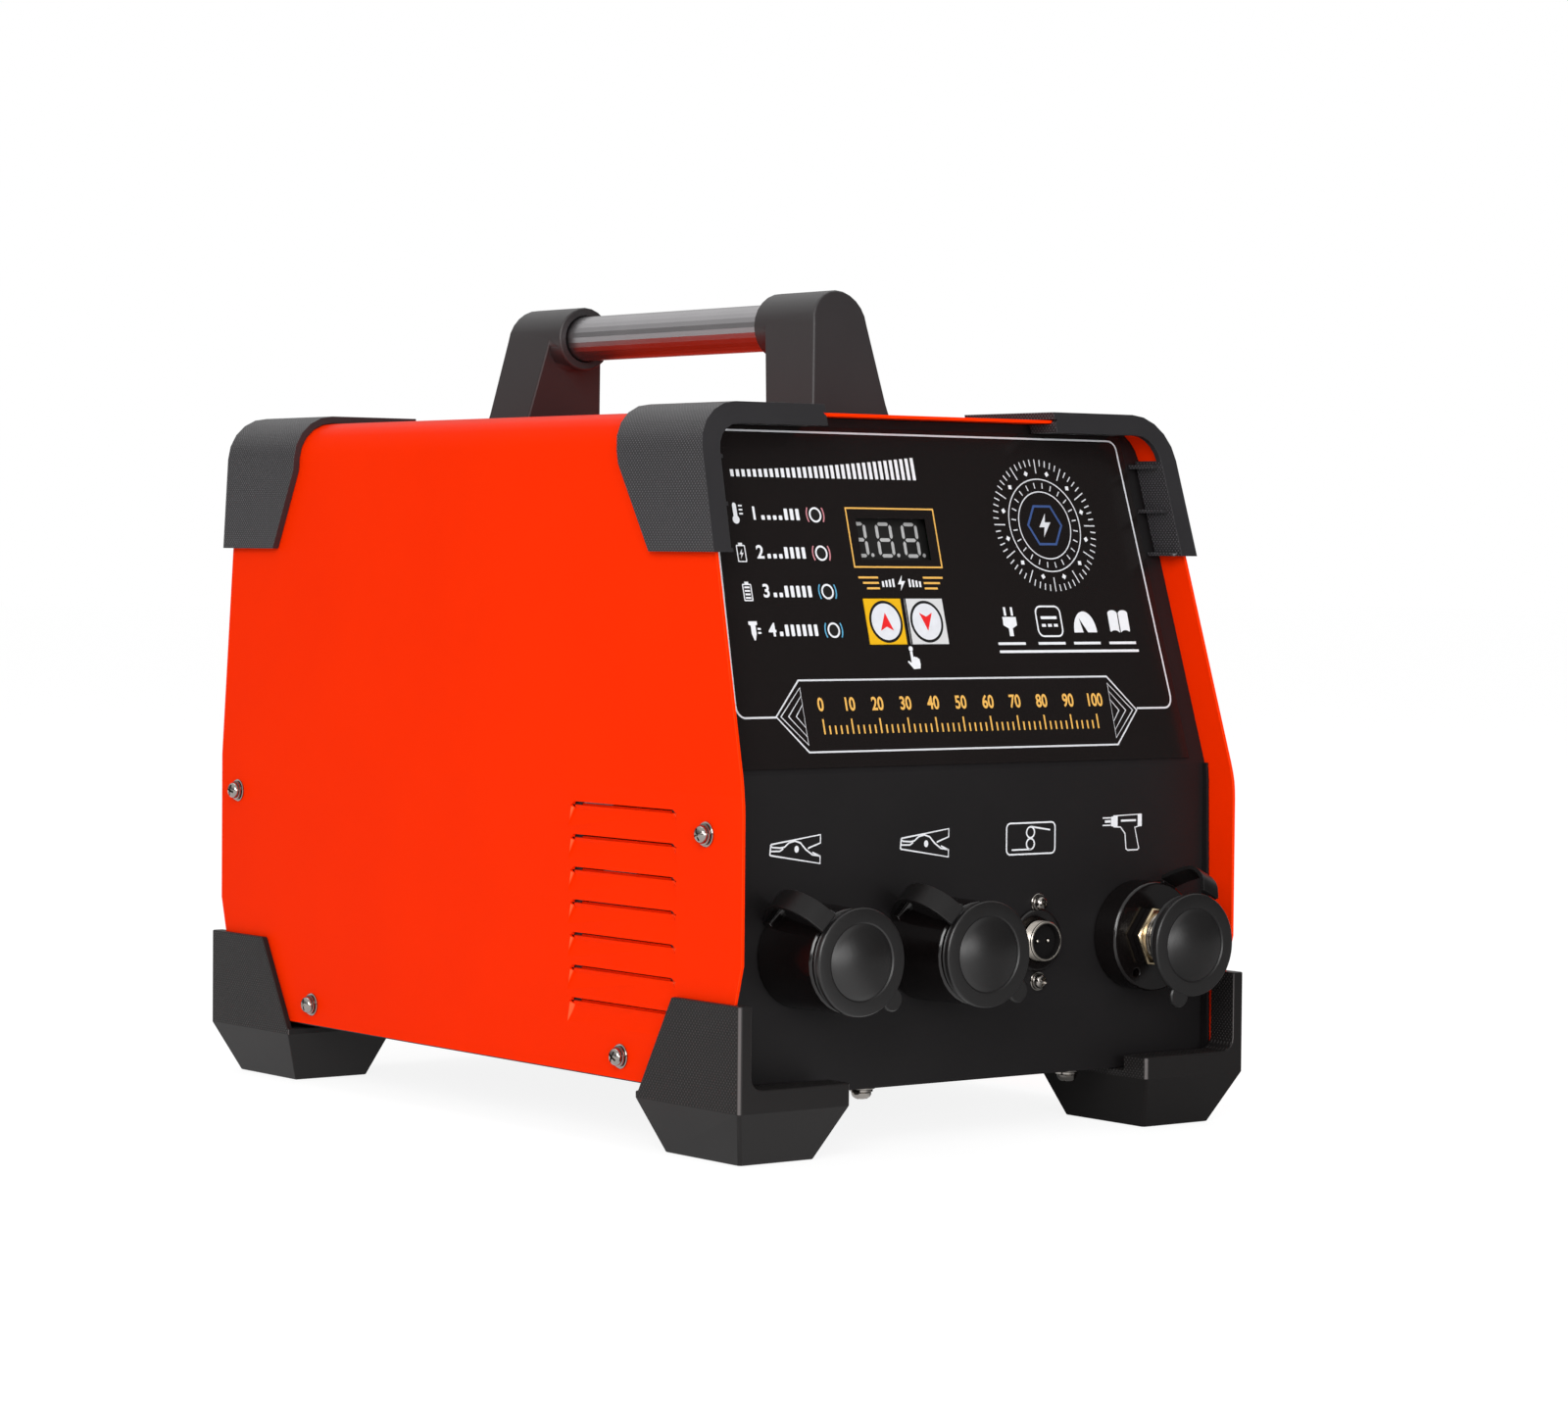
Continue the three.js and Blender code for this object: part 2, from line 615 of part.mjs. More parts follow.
function boardShape() {
  const middle = (boardBottom + boardTop) / 2;
  const reach = [boardHalfWidth - spacerInset, (boardTop - boardBottom) / 2 - spacerInset];
  const plate = box([-boardHalfWidth, boardHalfWidth], [boardBack, boardBack + boardThickness],
    [boardBottom, boardTop]);
  const spacers = [[1, 1], [1, -1], [-1, 1], [-1, -1]].map(([a, b]) =>
    drum(spacerRadius, panelSheet + gap, boardBack + boardThickness / 2,
      [a * reach[0], middle + b * reach[1]], 10));
  const header = box([boardHalfWidth / 2, boardHalfWidth / 2 + headerWidth],
    [boardBack + boardThickness / 2, boardBack + boardThickness + headerDepth],
    [middle, middle + headerHeight]);
  return join(plate, ...spacers, header);
}

place('control_board', boardShape(), material(0x1f4a2c, 0.5), slope);

const displayWidth = 37.6;
const displayHeight = 19;
const displayFace = 0.4; // the display's face behind the panel's face
{
  const { x, z } = displayWindow;
  const [w, h] = [displayWidth / 2, displayHeight / 2];
  place('display_module', box([x - w, x + w], [displayFace, boardBack - gap], [z - h, z + h]),
    material(0x2c2b2a, 0.3), slope);
}

const lampFlange = 0.7;
lampPlaces.forEach((at, i) => {
  const lens = drum(lampRadius, -filmFront, boardBack - gap, at, 12);
  const base = drum(lampRadius + lampFlange, boardBack - 2 * lampFlange, boardBack - gap, at, 12);
  place(`status_lamp_${i + 1}`, join(lens, base), material(0x9a948f, 0.3), slope);
});

const keyTravel = 0.6;
const keyPad = 2.2;
const keyStem = 2.4;
keyPlaces.forEach(([x, z], i) => {
  const pad = box([x - keySize / 2, x + keySize / 2], [-filmFront, keyPad],
    [z - keyHeight / 2, z + keyHeight / 2]);
  const stem = drum(keyStem, keyPad / 2, boardBack - keyTravel - gap, [x, z], 12);
  const [name, color] = [['key_up', 0xf5b81f], ['key_down', 0xe8e4dc]][i];
  place(name, join(pad, stem), material(color, 0.35), slope);
});

// Panel sockets with their dust caps

const glossBlack = material(0x141214, 0.2);
const rubberBlack = material(0x2c2b2c, 0.75);
const brass = material(0xb58a3c, 0.3, 0.9);
const nickel = material(0xb9b6ae, 0.3, 0.9);
const drumRadius = 20.9;
const drumRootRadius = 18.4; // at the panel
const drumRim = 0.8;
const gunDrumRadius = 21.6;
const gunDrumDepth = 12.3;
const collarStep = 3.4; // the cap's skirt goes round this
const boreRadius = 14;
const boreDepth = 9;
const brassRadius = 8;
const brassBore = 4.6;
const brassStub = 6;
const tailLength = 24;
const capRadius = 20.1;
const capSkirt = 5.2;
const capFace = 2.4;
const capGroove = 0.8;
const domeRadius = 13.9;
const domeRise = 3.2;
const capReach = 37.5; // the cap's rim stands this far out of the panel
const gunCapReach = 35.2;
const gunCapSag = 1.65; // the gun's cap hangs a little low on its barrel
const gunSkirtRadius = 17.4;
const gunSkirt = 7;
const groundDrumDepth = capReach - capSkirt - 2 * gap;
const tabReach = 24.2;
const tabWidth = 8.6;
const strapWidth = 8.6;
const strapThickness = 1.8;
const groundArch = 32.5; // a strap's greatest distance from the socket's axis
const gunArch = 28.5;
const earReach = 1.2;
const earDepth = 4;
const groundEarY = 3; // distance of the ear's middle from the panel
const gunEarY = 8.2;
const capRimY = panelFaceY - capReach;
const gunRimY = panelFaceY - gunCapReach;

// Turns from +X towards the top, as shares of a full turn
const strapTurnShares = { left: 0.375, middle: 0.375, gun: 0.178 };
const tabTurnShares = { left: -0.125, middle: -0.125, gun: -0.325 };
// A strap's run from ear to rim: shares of the distance along Y, and of the arch
const strapRunShares = [[0.3, 0.82], [0.58, 1], [0.87, 0.6]];

const turnOf = (share) => -share * 4 * quarter;

function groundDrum(at) {
  const y0 = panelFaceY - gap;
  const yEnd = panelFaceY - groundDrumDepth;
  const collarEnd = capRimY + capFace + gap;
  const collarRadiusHere = drumRadius - collarStep;
  return turned([
    [brassRadius + gap, y0], [drumRootRadius, y0], [drumRadius, yEnd + drumRim],
      [drumRadius - drumRim, yEnd],
    [collarRadiusHere, yEnd], [collarRadiusHere, collarEnd], [boreRadius, collarEnd],
    [boreRadius, collarEnd + boreDepth], [brassRadius + gap, collarEnd + boreDepth],
    [brassRadius + gap, y0]], at, 32);
}

// The brass barrel with its bore, and the tail that leads through the panel
function contactShape(at, mouth) {
  const tailEnd = panelFaceY + tailLength;
  const floor = panelFaceY - brassStub;
  return turned([[0, tailEnd], [tailRadius, tailEnd], [tailRadius, panelFaceY - gap], [brassRadius, floor],
    [brassRadius, mouth], [brassBore, mouth], [brassBore, floor], [0, floor]], at, 24);
}

// An ear on the drum's flank, where the strap is held
function earShape(turnShare, earY, [x, z]) {
  const half = strapWidth / 2 - gap;
  const y = panelFaceY - Math.max(earY, earDepth / 2 + gap);
  return box([drumRootRadius - earDepth, drumRadius + earReach],
    [y - earDepth / 2, y + earDepth / 2], [-half, half])
    .rotateY(turnOf(turnShare)).translate(x, 0, z);
}

// A disc with a shallow dome, hung lower than its skirt by its sag
function capShape(at, turnShare, rimY, skirt, sag) {
  const faceBack = rimY + capFace;
  const back = rimY + skirt.depth;
  const domeBall = (domeRadius ** 2 + domeRise ** 2) / (2 * domeRise);
  const domeTurn = Math.asin(domeRadius / domeBall);
  const dome = arc([0, rimY - domeRise + domeBall], domeBall, -quarter, domeTurn - quarter, 4);
  const discAt = [at[0], at[1] - sag];
  const disc = turned([[0, faceBack], ...dome, [capRadius - capGroove, rimY], [capRadius, rimY + capGroove],
    [capRadius, faceBack - capGroove], [capRadius - capGroove, faceBack], [0, faceBack]], discAt, 32);
  const collar = turned([
    [skirt.inner, back], [skirt.inner, faceBack - capFace / 2],
    [skirt.outer - capGroove, faceBack - capFace / 2], [skirt.outer - capGroove, back - capGroove],
    [skirt.outer, back - capGroove], [skirt.outer, back], [skirt.inner, back]], at, 32);
  const half = tabWidth / 2;
  const tabOutline = [[capRadius - capFace, half], [tabReach - half, half],
    ...arc([tabReach - half, 0], half,
    quarter, -quarter, 6), [capRadius - capFace, -half]];
  const tab = alongY(tabOutline, rimY + capGroove, faceBack - gap).rotateY(turnOf(turnShare))
    .translate(discAt[0], 0, discAt[1]);
  return join(disc, collar, tab);
}

// The strap arches from the drum's ear over to the cap's rim
function strapShape(turnShare, earY, arch, rimY, [x, z], sag) {
  const start = [drumRadius + earReach + gap + strapThickness / 2, panelFaceY - earY];
  const drop = sag * Math.sin(turnShare * 4 * quarter);
  const end = [capRadius - drop + gap + strapThickness / 4, rimY + capFace / 2];
  const along = strapRunShares.map(([share, rise]) =>
    [end[0] + (arch - end[0]) * rise, start[1] + (end[1] - start[1]) * share]);
  const curve = new THREE.CatmullRomCurve3([start, ...along, end].map(([r,
    y]) => new THREE.Vector3(r, y, 0)));
  const steps = 12;
  const side = (way) => curve.getSpacedPoints(steps).map((p, i) => {
    const t = curve.getTangentAt(i / steps);
    return [p.x + (way * t.y * strapThickness) / 2, p.y - (way * t.x * strapThickness) / 2];
  });
  const outline = [...side(1), ...side(-1).reverse()];
  return alongZ(outline, -strapWidth / 2, strapWidth / 2).rotateY(turnOf(turnShare)).translate(x, 0, z);
}

const socketAt = (name) => [rowX(name), socketHeight];

for (const name of ['left', 'middle']) {
  const at = socketAt(name);
  const [strapTurn, tabTurn] = [strapTurnShares[name], tabTurnShares[name]];
  const mouth = capRimY + capFace + gap + boreDepth;
  const skirt = { inner: drumRadius - collarStep + gap, outer: capRadius, depth: capSkirt };
  place(`ground_socket_${name}`, join(groundDrum(at), earShape(strapTurn, groundEarY, at)), glossBlack);
  place(`ground_contact_${name}`, contactShape(at, mouth), brass);
  place(`cap_${name}`, capShape(at, tabTurn, capRimY, skirt, 0), rubberBlack);
  place(`cap_strap_${name}`, strapShape(strapTurn, groundEarY, groundArch, capRimY, at, 0), rubberBlack);
}

// The gun's socket: a low drum, then a brass hexagon and a threaded barrel
const hexRadius = 12.6;
const hexDepth = 4;
const barrelRadius = 10.5;
const lugHoleRadius = 1.8;
const lugHoleX = 9.8; // the hole's place from the drum's axis
const lugHoleZ = 13.8;

function gunBarrel(at) {
  const drumFace = panelFaceY - gunDrumDepth;
  const hexFace = drumFace - gap - hexDepth;
  const mouth = gunRimY + capFace + gap;
  const hex = drum(hexRadius, hexFace, drumFace - gap, [0, 0], 6).rotateY(quarter)
    .translate(at[0], 0, at[1]);
  const barrel = turned([[0, panelFaceY + tailLength], [tailRadius, panelFaceY + tailLength],
    [tailRadius, drumFace - gap], [barrelRadius, hexFace + gap], [barrelRadius, mouth], [0, mouth]], at, 28);
  return cut(join(hex, barrel), drum(brassBore, mouth - overrun, panelFaceY - brassStub, at, 20));
}

function gunDrum([x, z]) {
  const face = panelFaceY - gunDrumDepth;
  const body = turned([[tailRadius + gap, panelFaceY - gap], [gunDrumRadius, panelFaceY - gap],
    [gunDrumRadius, face + drumRim], [gunDrumRadius - drumRim, face], [tailRadius + gap, face],
    [tailRadius + gap, panelFaceY - gap]], [x, z], 36);
  const lugHole = drum(lugHoleRadius, face - overrun, face + gunDrumDepth / 2,
    [x - lugHoleX, z - lugHoleZ], 10);
  return cut(body, lugHole);
}

{
  const at = socketAt('gun');
  const [strapTurn, tabTurn] = [strapTurnShares.gun, tabTurnShares.gun];
  const skirt = { inner: barrelRadius + gap, outer: gunSkirtRadius, depth: gunSkirt };
  place('gun_socket', join(gunDrum(at), earShape(strapTurn, gunEarY, at)), glossBlack);
  place('gun_barrel', gunBarrel(at), brass);
  place('cap_gun', capShape(at, tabTurn, gunRimY, skirt, gunCapSag), rubberBlack);
  place('cap_strap_gun', strapShape(strapTurn, gunEarY, gunArch, gunRimY, at, gunCapSag), rubberBlack);
}

// Two-pin signal connector
const shellReach = 6.5;
const shellWall = 0.9;
const washerRadius = 12.4;
const washerThickness = 1.4;
const insertSetback = 3.2;
const connectorTail = 12;
const pinRadius = 0.9;
const pinSpread = 2.7;
const keyNotch = 1.1;

{
  const at = socketAt('signal');
  const lip = panelFaceY - shellReach;
  const tail = panelFaceY + connectorTail;
  const washer = panelFaceY - gap - washerThickness;
  const inside = signalRadius - shellWall;
  place('signal_connector_shell', turned([[inside, lip], [signalRadius, lip], [signalRadius, washer],
    [washerRadius, washer], [washerRadius, panelFaceY - gap], [signalRadius, panelFaceY - gap],
    [signalRadius, tail], [inside, tail], [inside, lip]], at, 28), nickel);
  const face = lip + insertSetback;
  const insert = drum(inside - gap, face, tail, at, 24);
  const pins = [-1, 1].map((way) => [at[0] + way * pinSpread, at[1]]);
  const holes = pins.map((pin) => drum(pinRadius + gap, face - overrun, tail + overrun, pin, 10));
  const notch = box([at[0] - keyNotch, at[0] + keyNotch], [face - overrun, face + keyNotch],
    [at[1] + inside - 2 * keyNotch, at[1] + inside]);
  place('signal_connector_insert', cut(insert, ...holes, notch), glossBlack);
  pins.forEach((pin, i) => {
    place(`signal_pin_${i + 1}`, drum(pinRadius, lip + pinRadius, tail + 2 * pinRadius, pin, 10), nickel);
  });
}

// Fan, its guard, the power switch and the cable gland on the rear panel

const fanPlastic = material(0x1d1d1f, 0.5);
const fanDepth = 38;
const fanCorner = 6;
const hubRadius = 21;
const hubShell = 24;
const bladeCount = 7;
const bladeTip = 54;
const bladeThickness = 1.6;
const bladeChord = 26;
const bladeRootShare = 0.8;
const bladeRootAngle = 0.9;
const bladeTipAngle = 0.55;
const diagonalShare = 0.5;
const strutWidth = 5;
const strutDepth = 4;
const rotorClear = 1.2;
const fanFaceY = rearFaceY - panelSheet - gap;
const fanAt = [fanX, fanZ];

function fanFrame() {
  const half = fanSize / 2;
  const square = alongY([[-half, -half + fanCorner], [-half + fanCorner, -half], [half - fanCorner, -half],
    [half, -half + fanCorner], [half, half - fanCorner], [half - fanCorner, half],
    [-half + fanCorner, half], [-half, half - fanCorner]], fanFaceY - fanDepth, fanFaceY)
    .translate(fanX, 0, fanZ);
  const housing = cut(square,
    drum(fanBore / 2, fanFaceY - fanDepth - overrun, fanFaceY + overrun, fanAt, 36));
  const plateFront = fanFaceY - fanDepth;
  const plate = drum(hubRadius, plateFront, plateFront + strutDepth, fanAt, 24);
  const struts = [0, 1, 2, 3].map((i) =>
    box([hubRadius / 2, fanBore / 2 + strutWidth / 2], [plateFront, plateFront + strutDepth],
      [-strutWidth / 2, strutWidth / 2]).rotateY(quarter * (i + diagonalShare)).translate(fanX, 0, fanZ));
  const spindle = drum(axleRadius, plateFront + strutDepth / 2,
    plateFront + strutDepth + axleLength, fanAt, 16);
  return join(housing, plate, ...struts, spindle);
}

const axleRadius = 3;
const axleLength = 20;
const axleClear = 0.08;

function fanRotor() {
  const back = fanFaceY - fanDepth + strutDepth + rotorClear;
  const faceY = back + hubShell;
  const hub = turned([[axleRadius + axleClear, back], [hubRadius, back], [hubRadius, faceY], [0, faceY],
    [0, faceY - rotorClear * 2], [axleRadius + axleClear, faceY - rotorClear * 2],
    [axleRadius + axleClear, back]], [0, 0], 28);
  const middle = (back + faceY) / 2;
  const section = (radius, pitch) => {
    const [dy, dz] = [(bladeChord / 2) * Math.sin(pitch), (bladeChord / 2) * Math.cos(pitch)];
    const half = bladeThickness / 2;
    return [[radius, middle - dy - half, -dz], [radius, middle - dy + half, -dz],
      [radius, middle + dy - half, dz], [radius, middle + dy + half, dz]];
  };
  const blades = Array.from({ length: bladeCount }, (_, i) =>
    hull([...section(hubRadius * bladeRootShare, bladeRootAngle), ...section(bladeTip, bladeTipAngle)])
      .rotateY((2 * Math.PI * i) / bladeCount));
  return join(hub, ...blades);
}

place('fan_frame', fanFrame(), fanPlastic);
place('fan_rotor', fanRotor(), fanPlastic).position.set(fanX, 0, fanZ);

const wireRadius = 1;
const guardRingShares = [0.3, 0.52, 0.74, 0.96];
const guardStandoff = 3;

function fanGuard() {
  const y = rearFaceY + gap + guardStandoff;
  const rings = guardRingShares.map((share) =>
    new THREE.TorusGeometry((share * fanBore) / 2, wireRadius, 5, 24)
      .rotateX(quarter).translate(fanX, y, fanZ));
  const reach = fanSize / 2 - fanCorner;
  const spokes = [0, 1, 2, 3].map((i) => {
    const angle = quarter * (i + diagonalShare);
    const spoke = new THREE.CylinderGeometry(wireRadius, wireRadius, reach * Math.SQRT2, 6)
      .rotateZ(quarter).translate((reach * Math.SQRT2) / 2, y + wireRadius, 0);
    const foot = drum(3 * wireRadius, rearFaceY + gap, y + 2 * wireRadius, [reach * Math.SQRT2, 0], 8);
    return [spoke, foot].map((piece) => piece.rotateY(angle).translate(fanX, 0, fanZ));
  });
  return join(...rings, ...spokes.flat());
}

place('fan_guard', fanGuard(), material(0xc9c9c6, 0.3, 0.9));

const bezel = 3;
const bezelDepth = 2;
const switchDepth = 26;
const switchWall = 1.6;
const rockerProud = 4;
const rockerSink = 6;
const rockerBackShare = 0.8;
const rockerSwing = 2.1; // room for its ends as it tips
const rockerRestAngle = -0.2;
const rockerAxis = rearFaceY + gap - rockerSink / 2;

function switchBody() {
  const [w, h] = [switchWidth / 2, switchHeight / 2];
  const z = [switchZ - h, switchZ + h];
  const frame = box([switchX - w - bezel, switchX + w + bezel], [rearFaceY + gap,
    rearFaceY + gap + bezelDepth],
    [switchZ - h - bezel, switchZ + h + bezel]);
  const body = box([switchX - w, switchX + w], [rearFaceY - switchDepth,
    rearFaceY + gap + bezelDepth / 2], z);
  const well = box([switchX - w + switchWall, switchX + w - switchWall],
    [rearFaceY - rockerSink - switchDepth / 3, rearFaceY + overrun],
    [switchZ - h + switchWall, switchZ + h - switchWall]);
  return cut(join(frame, body), well);
}

// A shallow V that tips about a level axis along X
function rockerShape() {
  const half = switchHeight / 2 - switchWall - rockerSwing;
  const top = rockerSink / 2 + rockerProud;
  const outline = [[-rockerSink / 2, -half * rockerBackShare], [top, -half],
    [top - rockerProud / 2, 0], [top, half],
    [-rockerSink / 2, half * rockerBackShare]];
  const w = switchWidth / 2 - switchWall - gap;
  return alongX(outline, -w, w);
}

place('power_switch_body', switchBody(), glossBlack);
const rocker = place('power_rocker', rockerShape(), material(0xa31515, 0.35));
rocker.position.set(switchX, rockerAxis, switchZ);
rocker.rotation.x = rockerRestAngle;

const glandHex = 13.5;
const glandHexDepth = 5;
const glandDome = 10.5;
const glandDomeDepth = 12;
const glandBore = 5;
const glandTail = 12;

function glandShape() {
  const y0 = rearFaceY + gap;
  const hexEnd = y0 + glandHexDepth;
  const end = hexEnd + glandDomeDepth;
  const hex = drum(glandHex, y0, hexEnd, [0, 0], 6).translate(glandX, 0, glandZ);
  const body = turned([[0, rearFaceY - glandTail], [glandRadius, rearFaceY - glandTail],
    [glandRadius, hexEnd],
    [glandDome, hexEnd - gap], [glandDome, end - glandBore], [glandDome - glandBore / 2, end], [0, end]],
    [glandX, glandZ], 20);
  return cut(join(hex, body),
    drum(glandBore, rearFaceY - glandTail - overrun, end + overrun, [glandX, glandZ], 16));
}

place('cable_gland', glandShape(), rubberBlack);

// Inside: the storage bank, the charging transformer and the discharge switch

const floor = panTopZ + gap;
const wallClear = 2;
// Sizes and places inside, as shares of the cover's width and length
const widthShares = { can: 8 / 61, canPitch: 35 / 122, core: 24 / 61, sink: 16 / 61 };
const lengthShares = { bank: -13 / 188, transformer: 23 / 94, sink: -5 / 47 };
const innerWall = coverWidth / 2 - louvreDepth - coverSheet - wallClear;
const canRadius = widthShares.can * coverWidth;
const canHeight = 108;
const canPitch = widthShares.canPitch * coverWidth;
const bankY = lengthShares.bank * coverLength;
const terminalRadius = 5;
const terminalHeight = 5;
const terminalSpread = 14;
const bracketHeight = 62;
const bracketSheet = 2;
const bracketMargin = 5;
const bankHalf = canPitch / 2 + canRadius + bracketMargin;
const bankX = innerWall - bankHalf;
const canPlaces = [[-1, -1], [1, -1], [-1, 1], [1, 1]]
  .map(([a, b]) => [bankX + (a * canPitch) / 2, bankY + (b * canPitch) / 2]);

canPlaces.forEach(([x, y], i) => {
  const can = post(canRadius, floor, floor + canHeight, [x, y], 24);
  const studs = [-1, 1].map((way) => post(terminalRadius, floor + canHeight - gap,
    floor + canHeight + terminalHeight, [x, y + way * terminalSpread], 10));
  place(`capacitor_${i + 1}`, join(can, ...studs), material(0x27313f, 0.4));
});

function bracketShape() {
  const half = bankHalf;
  const z = floor + bracketHeight;
  const plate = box([bankX - half, bankX + half], [bankY - half, bankY + half], [z, z + bracketSheet]);
  const legs = [-1, 1].map((way) => {
    const y = bankY + way * half;
    return box([bankX - half, bankX + half], [y, y - way * bracketSheet], [floor, z + bracketSheet]);
  });
  const holes = canPlaces.map((at) => post(canRadius + gap, z - overrun, z + overrun, at, 24));
  return cut(join(plate, ...legs), ...holes);
}

place('capacitor_bracket', bracketShape(), material(0xb8b8b4, 0.45, 0.8));

// Two bars join like terminals, and run forwards to the sockets' tails
const copper = material(0xb5713c, 0.35, 0.9);
const barThickness = 3;
const barWidth = 14;
const barClear = 3;

function busBar(way) {
  const z = [floor + canHeight + terminalHeight + gap,
    floor + canHeight + terminalHeight + gap + barThickness];
  const rows = [-1, 1].map((row) => bankY + (row * canPitch) / 2 + way * terminalSpread);
  const end = canPitch / 2 + barWidth / 2;
  const link = end + barClear;
  const xs = (a, b) => [bankX + way * a, bankX + way * b].sort((p, q) => p - q);
  const bars = rows.map((y) => box(xs(-end, link + barWidth), [y - barWidth / 2, y + barWidth / 2], z));
  return join(...bars, box(xs(link, link + barWidth), [rows[0] - barWidth / 2, rows[1] + barWidth / 2], z));
}

place('bus_bar_positive', busBar(1), copper);
place('bus_bar_negative', busBar(-1), copper);

function outputBar(names) {
  const y = panelFaceY + tailLength + gap;
  const xs = names.map(rowX);
  const low = [Math.min(...xs) - barWidth / 2, Math.max(...xs) + barWidth / 2];
  return box(low, [y, y + barThickness], [socketHeight - barWidth / 2, socketHeight + barWidth / 2]);
}

place('output_bar_ground', outputBar(['left', 'middle']), copper);
place('output_bar_gun', outputBar(['gun']), copper);

const coreWidth = widthShares.core * coverWidth;
const coreHeight = 80;
const coreStack = 50;
const limbShare = 1 / 6;
const windowClear = gap;
const transformerX = coreWidth / 2 - innerWall;
const transformerY = lengthShares.transformer * coverLength;

function coreShape() {
  const [limb, w] = [coreWidth * limbShare, coreWidth / 2];
  const y = [transformerY - coreStack / 2, transformerY + coreStack / 2];
  const block = box([transformerX - w, transformerX + w], y, [floor, floor + coreHeight]);
  const windows = [-1, 1].map((way) => box(
    [transformerX + way * limb, transformerX + way * (w - limb)],
    [y[0] - overrun, y[1] + overrun], [floor + limb, floor + coreHeight - limb]));
  return cut(block, ...windows);
}

function coilShape() {
  const limb = coreWidth * limbShare;
  const [inX, outX] = [limb + windowClear, coreWidth / 2 - limb - windowClear];
  const [inY, outY] = [coreStack / 2 + windowClear, coreStack / 2 + (coreWidth / 2 - 2 * limb)];
  const round = outX - inX;
  const outline = [[inX, inY], [-inX, inY], [-inX, -inY], [inX, -inY]].flatMap(([x, y], i) =>
    arc([x, y], round, quarter * i, quarter * (i + 1), 4));
  const z = [floor + limb + windowClear, floor + coreHeight - limb - windowClear];
  const hole = box([-inX, inX], [-inY, inY], [z[0] - overrun, z[1] + overrun]);
  return cut(alongZ(outline, ...z), hole).translate([transformerX, transformerY, 0]);
}

place('transformer_core', coreShape(), material(0x4a4a4c, 0.5, 0.7));
place('transformer_coil', coilShape(), material(0x8c4a1d, 0.5));

const sinkLength = 90;
const sinkWidth = widthShares.sink * coverWidth;
const sinkBase = 6;
const sinkHeight = 26;
const finCount = 9;
const finThick = 1.8;
const sinkStandoff = 8;
const sinkX = sinkWidth / 2 - innerWall + sinkStandoff;
const sinkY = lengthShares.sink * coverLength;
const moduleWidth = 34;
const moduleLength = 80;
const moduleHeight = 30;
const moduleStep = 8;

function sinkShape() {
  const x0 = sinkX - sinkWidth / 2;
  const pitch = (sinkWidth - finThick) / (finCount - 1);
  const y = [sinkY - sinkLength / 2, sinkY + sinkLength / 2];
  const base = box([x0, x0 + sinkWidth], y, [floor + sinkHeight - sinkBase, floor + sinkHeight]);
  const fins = Array.from({ length: finCount }, (_, i) =>
    box([x0 + i * pitch, x0 + i * pitch + finThick], y, [floor, floor + sinkHeight - gap]));
  return join(base, ...fins);
}

function moduleShape() {
  const z = floor + sinkHeight + gap;
  const [x, y] = [moduleWidth, moduleLength];
  const flange = box([sinkX - x / 2, sinkX + x / 2], [sinkY - y / 2, sinkY + y / 2], [z, z + moduleStep]);
  const body = box([sinkX - x / 2, sinkX + x / 2],
    [sinkY - y / 2 + moduleStep, sinkY + y / 2 - moduleStep], [z, z + moduleHeight]);
  return join(flange, body);
}

place('heat_sink', sinkShape(), material(0xaeb1b4, 0.4, 0.8));
place('thyristor_module', moduleShape(), material(0x202022, 0.5));

// The origin is under the middle of the whole part: the cap's dome leads and the feet trail
const leading = -capRimY + domeRise;
const trailing = halfLength + mouldingProud;
model.position.y = (leading - trailing) / 2;

export default model;
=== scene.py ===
import json
from math import asin, atan, copysign, cos, hypot, pi, radians, sin, sqrt, tan

import bpy
import bmesh
from mathutils import Matrix, Vector


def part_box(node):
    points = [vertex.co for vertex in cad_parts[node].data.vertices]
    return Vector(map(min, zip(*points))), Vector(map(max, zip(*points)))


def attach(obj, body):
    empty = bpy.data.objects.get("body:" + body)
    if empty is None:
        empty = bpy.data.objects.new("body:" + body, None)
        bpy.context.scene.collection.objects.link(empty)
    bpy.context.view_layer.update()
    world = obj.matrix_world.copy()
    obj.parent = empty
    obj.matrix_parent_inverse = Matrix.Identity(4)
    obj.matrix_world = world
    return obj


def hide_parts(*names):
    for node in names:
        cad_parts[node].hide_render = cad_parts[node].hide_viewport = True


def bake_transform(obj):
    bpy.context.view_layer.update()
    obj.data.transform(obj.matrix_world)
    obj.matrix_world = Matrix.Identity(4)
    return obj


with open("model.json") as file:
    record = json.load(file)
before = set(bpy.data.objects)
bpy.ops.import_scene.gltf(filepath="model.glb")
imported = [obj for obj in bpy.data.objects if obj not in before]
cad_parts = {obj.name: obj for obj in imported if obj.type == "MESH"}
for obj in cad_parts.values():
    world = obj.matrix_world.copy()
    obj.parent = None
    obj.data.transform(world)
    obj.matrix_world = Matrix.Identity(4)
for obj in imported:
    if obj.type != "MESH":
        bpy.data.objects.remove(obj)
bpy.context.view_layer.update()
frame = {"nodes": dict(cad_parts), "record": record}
nodes = frame["nodes"]
scene = bpy.context.scene
ops = bmesh.ops
rotation, translation = Matrix.Rotation, Matrix.Translation
mm = 0.001


# A dictionary whose values are read as attributes
class Sizes(dict):
    __getattr__ = dict.__getitem__

    def pick(self, names):
        return (self[name] for name in names.split())


